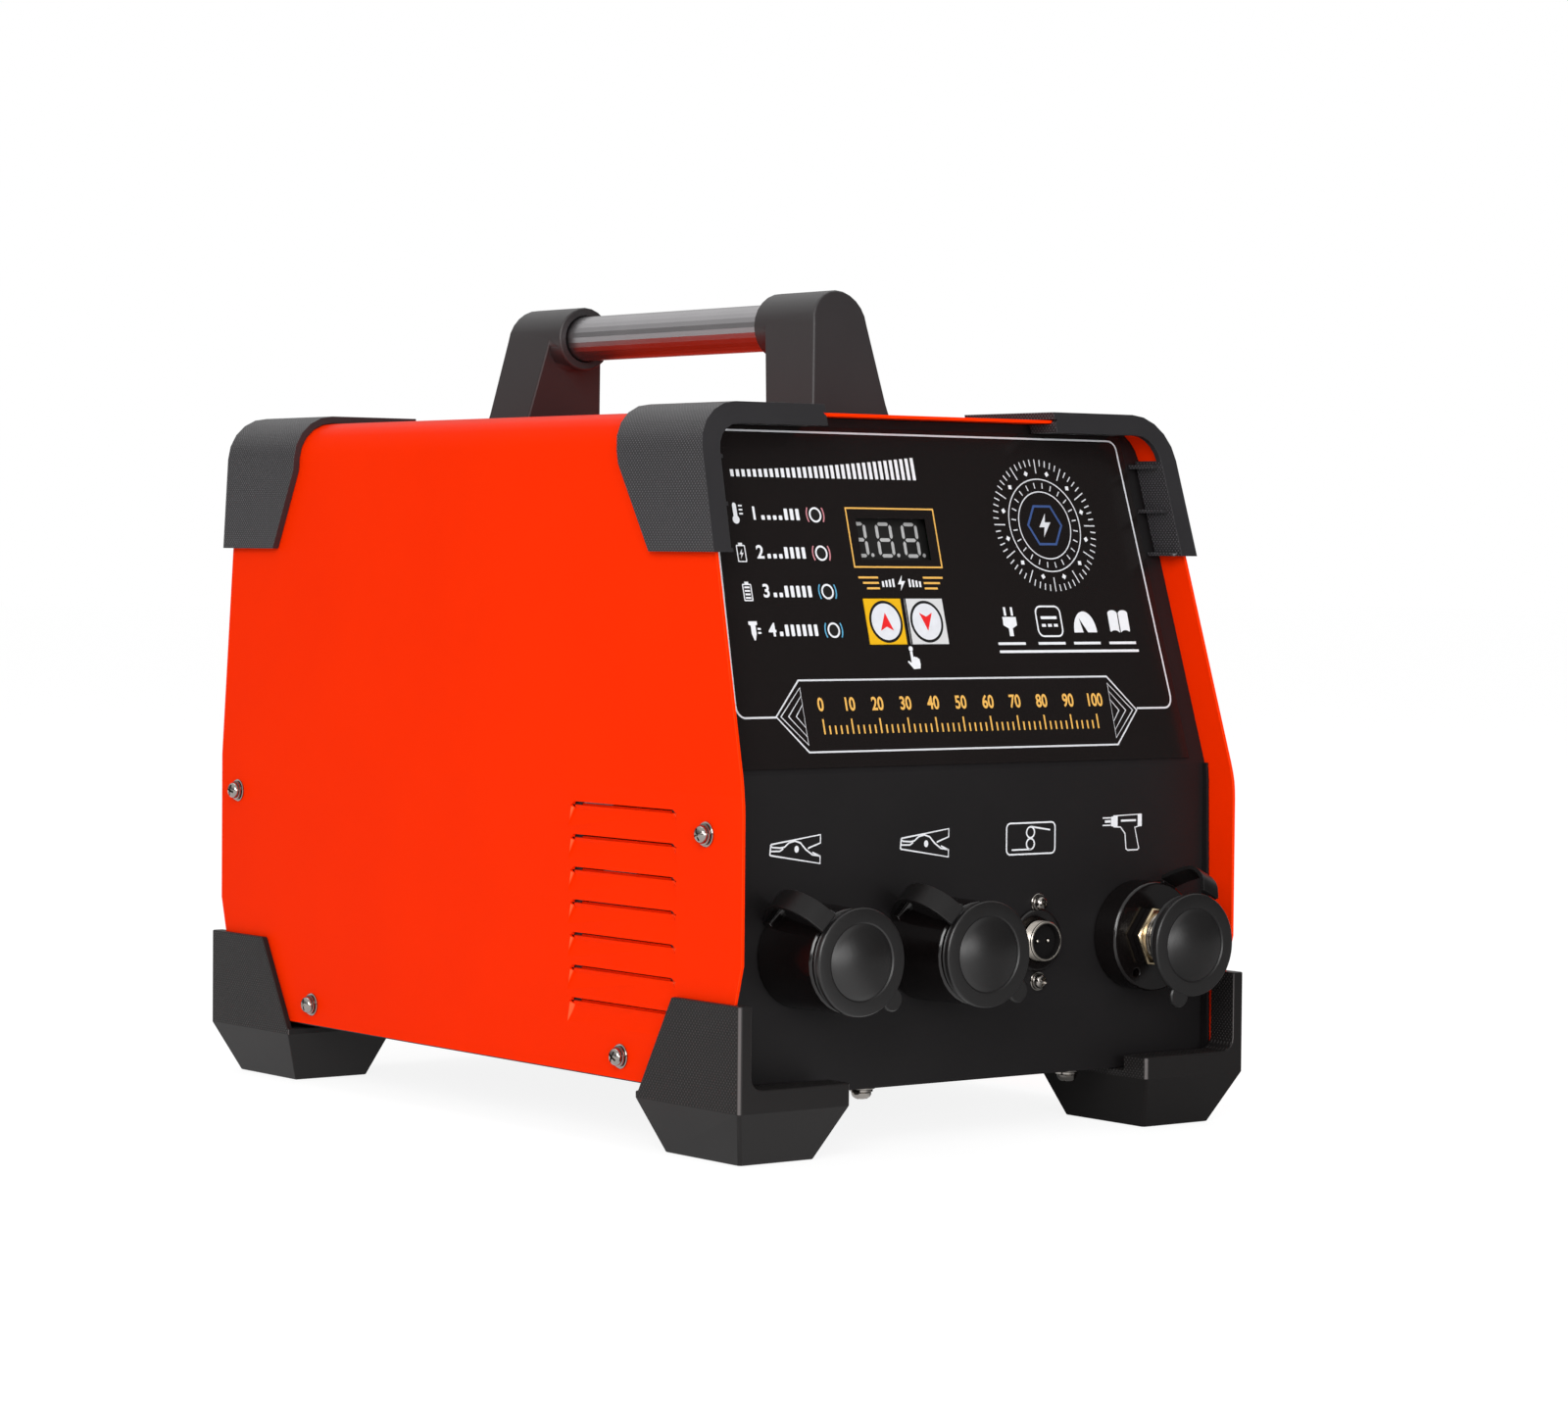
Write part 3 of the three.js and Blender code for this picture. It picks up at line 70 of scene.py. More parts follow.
box = Sizes(
    shift=10.75,  # the row frame's Y of the middle of the sheet-metal box
    face=-172,  # the front panel's upright face
    rearFace=172,
    fold=142.7,  # height where the panel starts to lean
    lean=atan(0.28),
    filmProud=0.8,
    halfWidth=122,
    rowHeight=75.6,  # height of the signal connector's axis
)
sides = (("left", -1), ("right", 1))


# Millimetres from the middle of the box to a point of the row frame
def at(x, y, z):
    return Vector((x, y + box.shift, z)) * mm


faceY = at(0, box.face, 0).y


# A node's output, so that shader maths is written as expressions
class Wire:
    def __init__(self, finish, socket):
        self.finish = finish
        self.socket = socket

    def output(self, key):
        return Wire(self.finish, self.socket.node.outputs[key])

    def math(self, operation, first, second=0):
        return self.finish.add("Math", {"operation": operation}, {0: first, 1: second})

    def __add__(self, other): return self.math("ADD", self, other)
    def __sub__(self, other): return self.math("SUBTRACT", self, other)
    def __rsub__(self, other): return self.math("SUBTRACT", other, self)
    def __mul__(self, other): return self.math("MULTIPLY", self, other)
    def __abs__(self): return self.math("ABSOLUTE", self)
    def __gt__(self, other): return self.math("GREATER_THAN", self, other)
    def __lt__(self, other): return self.math("LESS_THAN", self, other)
    def sine(self): return self.math("SINE", self)
    def most(self, other): return self.math("MAXIMUM", self, other)
    def least(self, other): return self.math("MINIMUM", self, other)
    def clamped(self): return self.most(0).least(1)


# Gain and start of the factors over the round of an upright corner
cornerRamps = {"wide": (4.25, 5), "thin": (16, 21.6)}


class Finish:
    def __init__(self, name, color, roughness, metallic=0, specular=0.5, coatRoughness=0.1):
        self.name = name
        self.material = bpy.data.materials.new(name)
        self.material.use_nodes = True
        self.tree = self.material.node_tree
        self.shader = self.tree.nodes["Principled BSDF"]
        for socket, value in (
            ("Base Color", (*color, 1)), ("Roughness", roughness), ("Metallic", metallic),
            ("Specular IOR Level", specular), ("Coat Roughness", coatRoughness),
        ):
            self.shader.inputs[socket].default_value = value

    def add(self, kind, settings=None, inputs=None, output=0):
        node = self.tree.nodes.new("ShaderNode" + kind)
        for key, value in (settings or {}).items():
            setattr(node, key, value)
        for key, value in (inputs or {}).items():
            if isinstance(value, Wire):
                self.tree.links.new(value.socket, node.inputs[key])
            else:
                node.inputs[key].default_value = value
        return Wire(self, node.outputs[output])

    def feed(self, socket, wire):
        self.tree.links.new(wire.socket, self.shader.inputs[socket])
        return self

    def coordinates(self, output="Object"):
        return self.add("TexCoord", output=output)

    def axes(self, output="Object"):
        split = self.add("SeparateXYZ", inputs={0: self.coordinates(output)})
        return [split.output(i) for i in range(3)]

    def noise(self, size, detail=2, stretch=None):
        place = self.coordinates()
        if stretch:
            place = self.add("Mapping", inputs={"Vector": place, "Scale": stretch})
        return self.add("TexNoise", inputs={
            "Vector": place, "Scale": 1 / (size * mm), "Detail": detail})

    def dot(self, first, second):
        return self.add(
            "VectorMath", {"operation": "DOT_PRODUCT"}, {0: first, 1: second}, "Value")

    # Eases from the first level to the second while the factor goes from start to end
    def eased(self, factor, start, end, first, second):
        return self.add("MapRange", {"interpolation_type": "SMOOTHSTEP"}, {
            0: factor, 1: start, 2: end, 3: first, 4: second})

    # 1 everywhere but towards the studio's dark flag
    def flagged(self, direction):
        return self.eased(self.dot(direction, studio.flag), studio.flagStart,
                          studio.flagEnd, 1, studio.flagLevel)

    # 1 on the rounds of upright corners, else 0
    def corners(self, nx, ny, ramp):
        gain, start = cornerRamps[ramp]
        return ((abs(nx) + abs(ny)) * gain - start).clamped()

    def mix(self, share, first, second):
        return self.add("Mix", {"data_type": "RGBA"}, {0: share, 6: first, 7: second}, 2)

    def bump(self, height, depth):
        lifted = self.add("Bump", inputs={
            "Strength": 1, "Distance": depth * mm, "Height": height})
        return self.feed("Normal", lifted)


def shade(color, factor):
    return tuple(min(1, c * factor) for c in color) + (1,)


# Colour and roughness drift softly, over a fine grain
def grained(name, color, roughness, drift=0.12, grain=0.5, depth=0.02, patch=40, **more):
    finish = Finish(name, color, roughness, **more)
    cloud = finish.noise(patch, 3)
    speck = finish.noise(grain, 2)
    finish.feed("Base Color", finish.mix(cloud, shade(color, 1 - drift), shade(color, 1 + drift)))
    finish.feed("Roughness", cloud * 0.1 + speck * 0.06 + (roughness - 0.08))
    return finish.bump(speck, depth)


moulding = Sizes(
    dotAcross=1.8,  # spacing of the moulded dots along Y
    dotUp=1.9,
    dotHeight=0.16,
    dotShare=0.3,  # how much of each dot's slope stays flat
    dotSlope=2.2,
    edgeGlint=3,
    level=0.35,  # how far a dotted face may turn to the front
    sideways=0.9,  # how far it has to look sideways or up
    crease=-0.1,  # faces that look further down carry no dots
)


# Moulded plastic with raised dots on the faces that look sideways or up, each dot with a painted
# highlight
def dotted(name, color, roughness, specular, glint, line=0):
    finish = Finish(name, color, roughness, specular=specular)
    x, y, z = finish.axes()
    nx, ny, nz = finish.axes("Normal")

    def wave(along, spacing):
        return (along * (2 * pi / (moulding[spacing] * mm))).sine()

    dots = wave(y, "dotAcross") * wave(z - abs(x), "dotUp")  # runs on over the rounded corner
    upper = nz > moulding.crease
    skin = ((abs(ny) < moulding.level) * ((abs(nx) + nz.most(0)) > moulding.sideways) * upper)
    raised = ((dots - moulding.dotShare) * moulding.dotSlope).clamped() * skin
    speck = finish.noise(0.45, 2)
    cloud = finish.noise(30, 3)
    base = finish.mix(cloud, shade(color, 0.9), shade(color, 1.1))
    # painted highlight: the raised dots' colour is lightened by the glint factor
    dotHighlighted = finish.mix(raised, base, shade(color, glint))
    edgeHighlight = finish.corners(nx, ny, "wide")  # painted highlight on the rounds of upright corners
    edged = finish.mix(edgeHighlight, dotHighlighted, shade(color, moulding.edgeGlint))
    if line:  # a fine painted highlight line down the middle of the round
        thin = finish.corners(nx, ny, "thin") * upper
        edged = finish.mix(thin, edged, shade(color, line))
    finish.feed("Base Color", edged)
    finish.feed("Roughness", cloud * 0.1 + (roughness - 0.05) + raised * -0.08)
    return finish.bump(raised + speck * 0.1, moulding.dotHeight)


# Metal with fine lines along one axis
def drawn(name, color, roughness, along="Y", depth=0.004):
    finish = Finish(name, color, roughness, metallic=1)
    lines = finish.noise(0.35, 2, [0.04 if axis == along else 1 for axis in "XYZ"])
    cloud = finish.noise(25, 3)
    finish.feed("Base Color", finish.mix(cloud, shade(color, 0.88), shade(color, 1.08)))
    finish.feed("Roughness", lines * 0.12 + cloud * 0.08 + (roughness - 0.08))
    return finish.bump(lines, depth)


# A print of one colour, slightly uneven
def ink(name, color):
    finish = Finish(name, color, 0.45, specular=0.3)
    cloud = finish.noise(2.5, 2)
    finish.feed("Base Color", finish.mix(cloud, shade(color, 0.9), shade(color, 1.05)))
    return finish.bump(cloud, 0.004)


paint = Sizes(
    color=(0.98, 0.027, 0), light=(1, 0.0305, 0, 1),
    edge=(1, 0.12, 0.04, 1),  # painted highlight on the sheet's rounded edge
    sheen=0.2,  # the top's coat
)


def paintFinish():
    finish = Finish("cover_paint", paint.color, 0.4, specular=0.014, coatRoughness=0.3)
    cloud = finish.noise(60, 3)
    peel = finish.noise(1.6, 1)
    nx, ny, nz = finish.axes("Normal")
    flat = finish.mix(cloud, shade(paint.color, 0.96), paint.light)
    # painted highlight on the rounds of upright edges
    finish.feed("Base Color", finish.mix(finish.corners(nx, ny, "wide"), flat, paint.edge))
    finish.feed("Roughness", cloud * 0.08 + peel * 0.06 + 0.32)
    finish.feed("Coat Weight", (nz * 3 - 2).clamped() * paint.sheen)
    return finish.bump(peel, 0.02)


finishes = {finish.name: finish for finish in (
    paintFinish(),
    grained("panel_paint", (0.0088, 0.0079, 0.0083), 0.46, specular=0.2),
    grained("pan_paint", (0.02, 0.02, 0.021), 0.6),
    grained("label_film", (0.0095, 0.0076, 0.0074), 0.2, specular=0.26, drift=0.05, grain=1.2,
            depth=0.003),
    dotted("guard_plastic", (0.0175, 0.0164, 0.018), 0.42, specular=0.5, glint=5.5),
    dotted("foot_plastic", (0.0125, 0.0113, 0.0112), 0.42, specular=0.16, glint=3.5, line=9.5),
    grained("handle_plastic", (0.024, 0.0218, 0.0227), 0.44, grain=0.6),
    drawn("tube_metal", (0.36, 0.35, 0.36), 0.3, depth=0.0012),
    grained("board", (0.012, 0.07, 0.028), 0.4, drift=0.3, patch=6),
    grained("display", (0.012, 0.0115, 0.011), 0.35, drift=0.05),
    grained("key_yellow", (0.7, 0.385, 0.007), 0.45, specular=0.12, drift=0.04),
    grained("key_white", (0.58, 0.58, 0.585), 0.45, specular=0.2, drift=0.04),
    grained("gloss_black", (0.0045, 0.0034, 0.0034), 0.17, grain=0.8, depth=0.003),
    grained("rubber", (0.0105, 0.0098, 0.0098), 0.33, specular=0.45, drift=0.15, depth=0.012),
    # the cap rubber made darker for the straps: painted shade on their lamp-lit upper faces
    grained("strap_rubber", (0.0066, 0.006, 0.006), 0.38, specular=0.2, depth=0.012),
    drawn("brass", (0.7, 0.56, 0.36), 0.2, "Z"),
    drawn("nickel", (0.5, 0.46, 0.41), 0.16, "Z"),
    grained("fan_plastic", (0.012, 0.012, 0.0135), 0.5),
    drawn("guard_wire", (0.6, 0.6, 0.58), 0.25),
    grained("rocker_red", (0.42, 0.009, 0.008), 0.35, drift=0.05),
    grained("gland_plastic", (0.013, 0.013, 0.0135), 0.5),
    drawn("bracket_metal", (0.55, 0.56, 0.56), 0.42),
    drawn("copper", (0.72, 0.32, 0.16), 0.3),
    drawn("core_steel", (0.16, 0.16, 0.17), 0.5, "X"),
    drawn("winding", (0.46, 0.16, 0.045), 0.35, "X", depth=0.05),
    drawn("sink_aluminium", (0.62, 0.64, 0.66), 0.35),
    grained("module_plastic", (0.013, 0.013, 0.014), 0.5),
    grained("capacitor_sleeve", (0.016, 0.028, 0.055), 0.3, drift=0.2),
    grained("lamp_lens", (0.014, 0.0125, 0.012), 0.25, drift=0.1),
    grained("bore_black", (0.006, 0.0055, 0.0055), 0.7, specular=0.08, depth=0.004),
)}
inks = {name: ink("ink_" + name, color) for name, color in (
    ("white", (0.74, 0.75, 0.78)), ("line", (0.62, 0.63, 0.66)), ("gold", (0.76, 0.42, 0.09)),
    ("pink", (0.52, 0.2, 0.23)), ("blue", (0.08, 0.33, 0.52)), ("dark_blue", (0.035, 0.075, 0.22)),
    ("black", (0.008, 0.008, 0.008)), ("red", (0.72, 0.012, 0.014)), ("disc", (0.66, 0.67, 0.71)))}
print("finishes made:", len(finishes) + len(inks))

slotOf = {entry["node"]: entry["material_slot"] for entry in frame["record"]["subparts"]}
bodyOf = {node: body for body, held in frame["record"]["behaviour"]["bodies"].items()
          for node in held}
for name, obj in nodes.items():
    obj.data.materials.clear()
    obj.data.materials.append(finishes[slotOf[name]].material)
    obj.data.shade_smooth()


def linked(name, data):
    obj = bpy.data.objects.new(name, data)
    scene.collection.objects.link(obj)
    return obj


# The mesh of a form, or a mesh as it is
def asMesh(form):
    if not isinstance(form, bmesh.types.BMesh):
        return form
    mesh = bpy.data.meshes.new("form")
    form.to_mesh(mesh)
    form.free()
    return mesh


# Adds a form or mesh, moved by a matrix, to another form
def join(form, extra, place=None):
    mesh = asMesh(extra)
    if place:
        mesh.transform(place)
    form.from_mesh(mesh)
    bpy.data.meshes.remove(mesh)


def moved(form, offset):
    ops.translate(form, verts=form.verts, vec=offset)
    return form


# Adds a box, its sizes in millimetres, turned about Y and moved
def block(form, size, place=(0, 0, 0), turn=0):
    made = ops.create_cube(form, size=1)["verts"]
    ops.scale(form, verts=made, vec=[length * mm for length in size])
    if turn:
        ops.rotate(form, verts=made, cent=(0, 0, 0), matrix=rotation(turn, 3, "Y"))
    ops.translate(form, verts=made, vec=place)


def roundEdges(form, edges, width, segments=2, **more):
    ops.bevel(form, geom=edges, offset=width * mm, segments=segments, profile=0.5,
              affect="EDGES", material=-1, **more)


# A visible object. The finish is a Finish or the name of a slot or an ink
def piece(name, form, finish, body="unit", replaces=(), smooth=38, even=False):
    mesh = asMesh(form)
    mesh.name = name
    mesh.materials.clear()
    mesh.materials.append((finishes.get(finish) or inks.get(finish) or finish).material)
    mesh.shade_smooth()
    mesh.set_sharp_from_angle(angle=radians(smooth))
    obj = linked(name, mesh)
    if even:
        obj.modifiers.new("even", "WEIGHTED_NORMAL").keep_sharp = True
    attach(obj, body)
    finish in finishes
    if replaces:
        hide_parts(*replaces)
    return obj


# A CAD node's faces joined up again and its outer edges rounded, by choice with two widths
def softened(node, edge, segments=2, sharp=42, choose=None, rest=0, reshape=None):
    form = bmesh.new()
    form.from_mesh(nodes[node].data)
    ops.remove_doubles(form, verts=form.verts, dist=0.002 * mm)
    if reshape:
        reshape(form)
    ops.dissolve_limit(form, angle_limit=radians(0.4), verts=form.verts, edges=form.edges,
                       delimit={"NORMAL"})
    passes = [(edge, choose or (lambda spot: True))]
    if rest:
        passes.append((rest, lambda spot: not choose(spot)))
    for width, wanted in passes:
        edges = [e for e in form.edges if len(e.link_faces) == 2 and e.is_convex
                 and e.calc_face_angle(0) > radians(sharp)
                 and wanted((e.verts[0].co + e.verts[1].co) / 2 / mm)]
        roundEdges(form, edges, width, segments, clamp_overlap=True, loop_slide=True)
    return form


def dress(node, edge, smooth=38, **more):
    return piece(node + ".form", softened(node, edge, **more), slotOf[node], bodyOf[node],
                 (node,), smooth, even=True)


# A profile of [radius, distance along +Y] points spun about the Y axis
def turned(profile, steps=64, closed=False):
    form = bmesh.new()
    if closed:
        profile = profile + profile[:1]
    points = [form.verts.new((r * mm, y * mm, 0)) for r, y in profile]
    edges = [form.edges.new(pair) for pair in zip(points, points[1:])]
    ops.spin(form, geom=points + edges, axis=(0, 1, 0), cent=(0, 0, 0), angle=2 * pi,
             steps=steps, use_merge=True)
    ops.remove_doubles(form, verts=form.verts, dist=0.001 * mm)
    ops.recalc_face_normals(form, faces=form.faces)
    return form


# Flat art: points are [x, height] in millimetres on the panel
def filmPoint(x, z):
    along = (z - box.fold) / cos(box.lean)
    return x, along - box.filmProud * tan(box.lean)


upright = rotation(pi / 2, 4, "X")
surfaces = {
    "film": (filmPoint, translation(at(0, box.face, box.fold))
             @ rotation(-box.lean, 4, "X") @ upright
             @ translation((0, 0, box.filmProud * mm))),
    "panel": (lambda x, z: (x, z), translation(at(0, box.face, 0)) @ upright),
}


def evaluated(obj):
    return bpy.data.meshes.new_from_object(obj.evaluated_get(bpy.context.evaluated_depsgraph_get()))


def curveMesh(curve):
    holder = linked("drawing", curve)
    mesh = evaluated(holder)
    bpy.data.objects.remove(holder)
    bpy.data.curves.remove(curve)
    return mesh


# A curve of runs, each a list of points in millimetres and whether it closes
def polyCurve(runs, flat=False):
    curve = bpy.data.curves.new("drawing", "CURVE")
    curve.dimensions = "2D" if flat else "3D"
    for points, closed in runs:
        spline = curve.splines.new("POLY")
        spline.points.add(len(points) - 1)
        for knot, point in zip(spline.points, points):
            knot.co = (*(length * mm for length in point), 1)
        spline.use_cyclic_u = closed
    return curve


def laid(runs, point, flat=False):
    return polyCurve([([(*point(x, z), 0) for x, z in points], closed)
                      for points, closed in runs], flat)


def stroke(name, runs, width, finish="white", surface="film"):
    point, plane = surfaces[surface]
    curve = laid(runs, point)
    curve.bevel_depth = width / 2 * mm
    curve.bevel_resolution = 1
    curve.use_fill_caps = True
    mesh = curveMesh(curve)
    mesh.transform(Matrix.Diagonal((1, 1, 0.12 / width, 1)))
    mesh.transform(plane)
    return piece(name, mesh, finish)


def filled(name, outlines, finish="white", surface="film", body="unit", lift=0, thick=0.06):
    point, plane = surfaces[surface]
    curve = laid([(outline, True) for outline in outlines], point, True)
    curve.fill_mode = "BOTH"
    curve.extrude = thick / 2 * mm
    mesh = curveMesh(curve)
    mesh.transform(plane @ translation((0, 0, (lift + thick / 2) * mm)))
    return piece(name, mesh, finish, body)


numeral = Sizes(height=5.2, em=1.38, bold=0.00003, thick=0.06)


def numerals(name, entries, finish="white", narrow=1):
    point, plane = surfaces["film"]
    raised = numeral.thick / 2 * mm
    form = bmesh.new()
    for text, x, z in entries:
        curve = bpy.data.curves.new("numeral", "FONT")
        curve.body = text
        curve.align_x = curve.align_y = "CENTER"
        curve.size = numeral.height * numeral.em * mm
        curve.extrude = raised
        curve.offset = numeral.height * numeral.bold
        a, b = point(x, z)
        join(form, curveMesh(curve), translation((a * mm, b * mm, raised))
             @ Matrix.Diagonal((narrow, 1, 1, 1)))
    form.transform(plane)
    return piece(name, form, finish)


def polar(cx, cz, turn, rx, rz=None):
    return cx + rx * cos(turn), cz + (rx if rz is None else rz) * sin(turn)


def sweep(cx, cz, rx, rz, start, end, steps=16):
    return [polar(cx, cz, radians(start + (end - start) * i / steps), rx, rz)
            for i in range(steps + 1)]


def circle(cx, cz, r, steps=32):
    return sweep(cx, cz, r, r, 0, 360 - 360 / steps, steps - 1)


def rectangle(x0, x1, z0, z1):
    return [(x0, z0), (x1, z0), (x1, z1), (x0, z1)]


def bar(x0, x1, z, width):
    return rectangle(x0, x1, z - width / 2, z + width / 2)


def roundedBox(x0, x1, z0, z1, r):
    left, right, low, high = x0 + r, x1 - r, z0 + r, z1 - r
    corners = (right, high, 0), (left, high, 90), (left, low, 180), (right, low, 270)
    return [point for x, z, turn in corners for point in sweep(x, z, r, r, turn, turn + 90, 5)]


def scaled(points, cx, cz, size=1, flip=1):
    return [(cx + x * size, cz + z * size * flip) for x, z in points]


for end in ("front", "rear"):
    for side, way in sides:
        dress(f"guard_{end}_{side}", 1.6, segments=3)
        dress(f"foot_{end}_{side}", 0.8, smooth=12, segments=8)

posts = Sizes(middle=22 + box.shift, collar=75, shoulder=281)
for name in ("front", "rear"):  # wide rounds on the post, a small one on the collar
    dress(f"handle_post_{name}", 3.4, segments=5, rest=0.9, choose=lambda spot:
          abs(spot.y - posts.middle) > posts.collar and spot.z > posts.shoulder)


# The middle of a node, seen from the front
def axisOf(node):
    low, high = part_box(node)
    return (low.x + high.x) / 2, (low.z + high.z) / 2


drums = Sizes(length=31.7, least=17.8, most=21.2, rootScale=1.1, mouthScale=0.93)


# The ground drums keep almost the same radius from the panel to their caps
def evenDrum(cx, cz):
    def reshape(form):
        for v in form.verts:
            r = hypot(v.co.x - cx, v.co.z - cz) / mm
            if drums.least < r < drums.most:
                share = (faceY - v.co.y) / mm / drums.length
                size = drums.rootScale + (drums.mouthScale - drums.rootScale) * share
                v.co.x = cx + (v.co.x - cx) * size
                v.co.z = cz + (v.co.z - cz) * size
    return reshape


for name in ("left", "middle"):
    dress(f"ground_socket_{name}", 0.25, reshape=evenDrum(*axisOf(f"ground_contact_{name}")))
dress("gun_socket", 0.3)

# Rubber cap: a domed disc, a skirt with a lip, and a small pull tab
cap = Sizes(
    radius=20.1, face=2.4, edge=0.9, dome=14.2, rise=3.2, valley=0.3, lip=0.8,
    tab=20.8, tabRadius=4.5, domeSteps=12, seam=0.3, small=0.2, round=0.5)
groundSkirt = Sizes(inner=17.8, outer=19.4, depth=4.4)
gunSkirt = Sizes(inner=10.8, outer=17.4, depth=7)
capPlaces = {  # axis node, distance of the rim from the panel, skirt, sag, the tab's turn
    "left": ("ground_contact_left", 37.5, groundSkirt, 0, -44),
    "middle": ("ground_contact_middle", 37.5, groundSkirt, 0, -44),
    "gun": ("gun_barrel", 35.2, gunSkirt, 1.65, -110),
}


def capForm(skirt, sag, tabTurn):
    rise, edge, radius, face, lip = cap.pick("rise edge radius face lip")
    seam, small, soft, tabRadius = cap.pick("seam small round tabRadius")
    ball = (cap.dome ** 2 + rise ** 2) / (2 * rise)
    reach = asin(cap.dome / ball)
    turns = [reach * i / cap.domeSteps for i in range(cap.domeSteps)]
    dome = [(ball * sin(t), ball - rise - ball * cos(t)) for t in turns]
    dome += [(cap.dome, cap.valley), (cap.dome + 0.6, 0)]
    rim = [(radius - edge + edge * sin(radians(a)),
            edge - edge * cos(radians(a))) for a in (0, 30, 60, 90)]
    disc = turned(dome + rim + [(radius, face - soft), (radius - soft, face), (0, face)], 96)
    moved(disc, (0, 0, -sag * mm))
    outer, inner, depth = skirt.outer, skirt.inner, skirt.depth
    join(disc, turned([
        (inner, depth), (inner, face - seam), (outer - lip, face - seam),
        (outer - lip, depth - lip - seam), (outer - small, depth - lip),
        (outer, depth - lip + small), (outer, depth - small), (outer - small, depth)], 96, True))
    tab = turned([
        (0, soft), (tabRadius - soft, soft), (tabRadius, 2 * soft), (tabRadius, face - 2 * seam),
        (tabRadius - seam, face - seam), (0, face - seam)], 32)
    x, z = polar(0, -sag, tabTurn, cap.tab)
    join(disc, moved(tab, (x * mm, 0, z * mm)))
    return disc


for name, (axis, out, skirt, sag, tabTurn) in capPlaces.items():
    cx, cz = axisOf(axis)
    form = moved(capForm(skirt, sag, radians(tabTurn)), (cx, at(0, box.face - out, 0).y, cz))
    node = f"cap_{name}"
    piece(f"{node}.form", form, "rubber", bodyOf[node], (node,), 24)

# The gun's connection: a brass hexagon on a black seat, and a bright threaded barrel
gun = Sizes(
    hex=12.6, turn=6, seat=12.2, face=12.5, plate=15.4, front=16.6,
    mouth=32.5, root=9.8, crest=10.45, pitch=1.3, bore=4.6, boreEnd=6.5,
    tail=5.6, tailEnd=24, inset=0.4, chamfer=0.6)


def gunForms():
    face, plate, front, mouth, root = gun.pick("face plate front mouth root")
    inner, chamfer, bore, wide = root - gun.inset, gun.chamfer, gun.bore, gun.hex
    seat = turned([(inner, -face), (gun.seat, -face), (gun.seat, -plate), (inner, -plate)], 6, True)
    hexagon = turned([(inner, -plate), (wide, -plate), (wide, -front + 0.5), (wide - 0.7, -front),
                      (inner, -front)], 6, True)
    for form in (seat, hexagon):
        ops.rotate(form, verts=form.verts, cent=(0, 0, 0),
                   matrix=rotation(radians(gun.turn), 3, "Y"))
    barrel = [(0, -gun.boreEnd), (bore, -gun.boreEnd), (bore, -mouth + chamfer),
              (bore + chamfer, -mouth), (root - 0.5, -mouth)]
    depth = mouth - 0.8
    while depth > front + gun.pitch:
        barrel += [(root, -depth), (gun.crest, -depth + 0.45), (gun.crest, -depth + 0.7)]
        depth -= gun.pitch
    barrel += [(root, -depth), (root, -face), (gun.tail, -face), (gun.tail, gun.tailEnd),
               (0, gun.tailEnd)]
    return seat, hexagon, turned(barrel, 72)


gunX, gunZ = axisOf("gun_barrel")
seat, plate, barrel = (moved(form, (gunX, faceY, gunZ)) for form in gunForms())
piece("gun_seat", seat, "gloss_black")
piece("gun_hexagon", plate, "brass")
piece("gun_thread", barrel, "nickel", replaces=("gun_barrel",))
dress("cable_gland", 0.5)
dress("power_switch_body", 0.5)
dress("power_rocker", 0.6, segments=3)
dress("fan_frame", 0.4)

# Each louvre's flap is drawn up until its slit is a fine line. A painted hem is close behind,
# and dark sheets of painted shade are behind the open corners
slats = Sizes(
    top=128, pitch=12.54, count=7, start=-144.5, length=64.5, slit=0.6,
    closed=0.45, eased=1.5, inset=2.25, round=0.15, hem=(0.5, 59.5, 1.6), hemDrop=0.2,
    # dark sheets of painted shade behind the open corners
    screen=(0.5, 9, 88), screenOut=1.2)
slits = [slats.top - i * slats.pitch for i in range(slats.count)]


def narrowSlits(form):
    for v in form.verts:
        y, z = v.co.y / mm - box.shift - slats.start, v.co.z / mm + slats.slit
        if -0.1 < y < slats.length + 0.1 and any(abs(z - slit) < 0.02 for slit in slits):
            v.co.z += slats.closed * mm
            v.co.x += copysign(slats.eased * mm, v.co.x)


dress("cover", 0.4, sharp=50, reshape=narrowSlits)
for side, way in sides:
    x, start = way * (box.halfWidth - slats.inset), slats.start
    end = start + slats.length
    hems = [((start + end) / 2, slit - slats.hemDrop) for slit in slits]
    screens = [(y, slits[3]) for y in (start - slats.screenOut, end + slats.screenOut)]
    for name, size, places, slot in (("hems", slats.hem, hems, "cover_paint"),
                                     ("screens", slats.screen, screens, "pan_paint")):
        form = bmesh.new()
        for y, z in places:
            block(form, size, at(x, y, z))
        roundEdges(form, form.edges, slats.round)
        piece(f"louvre_{name}_{side}", form, slot)

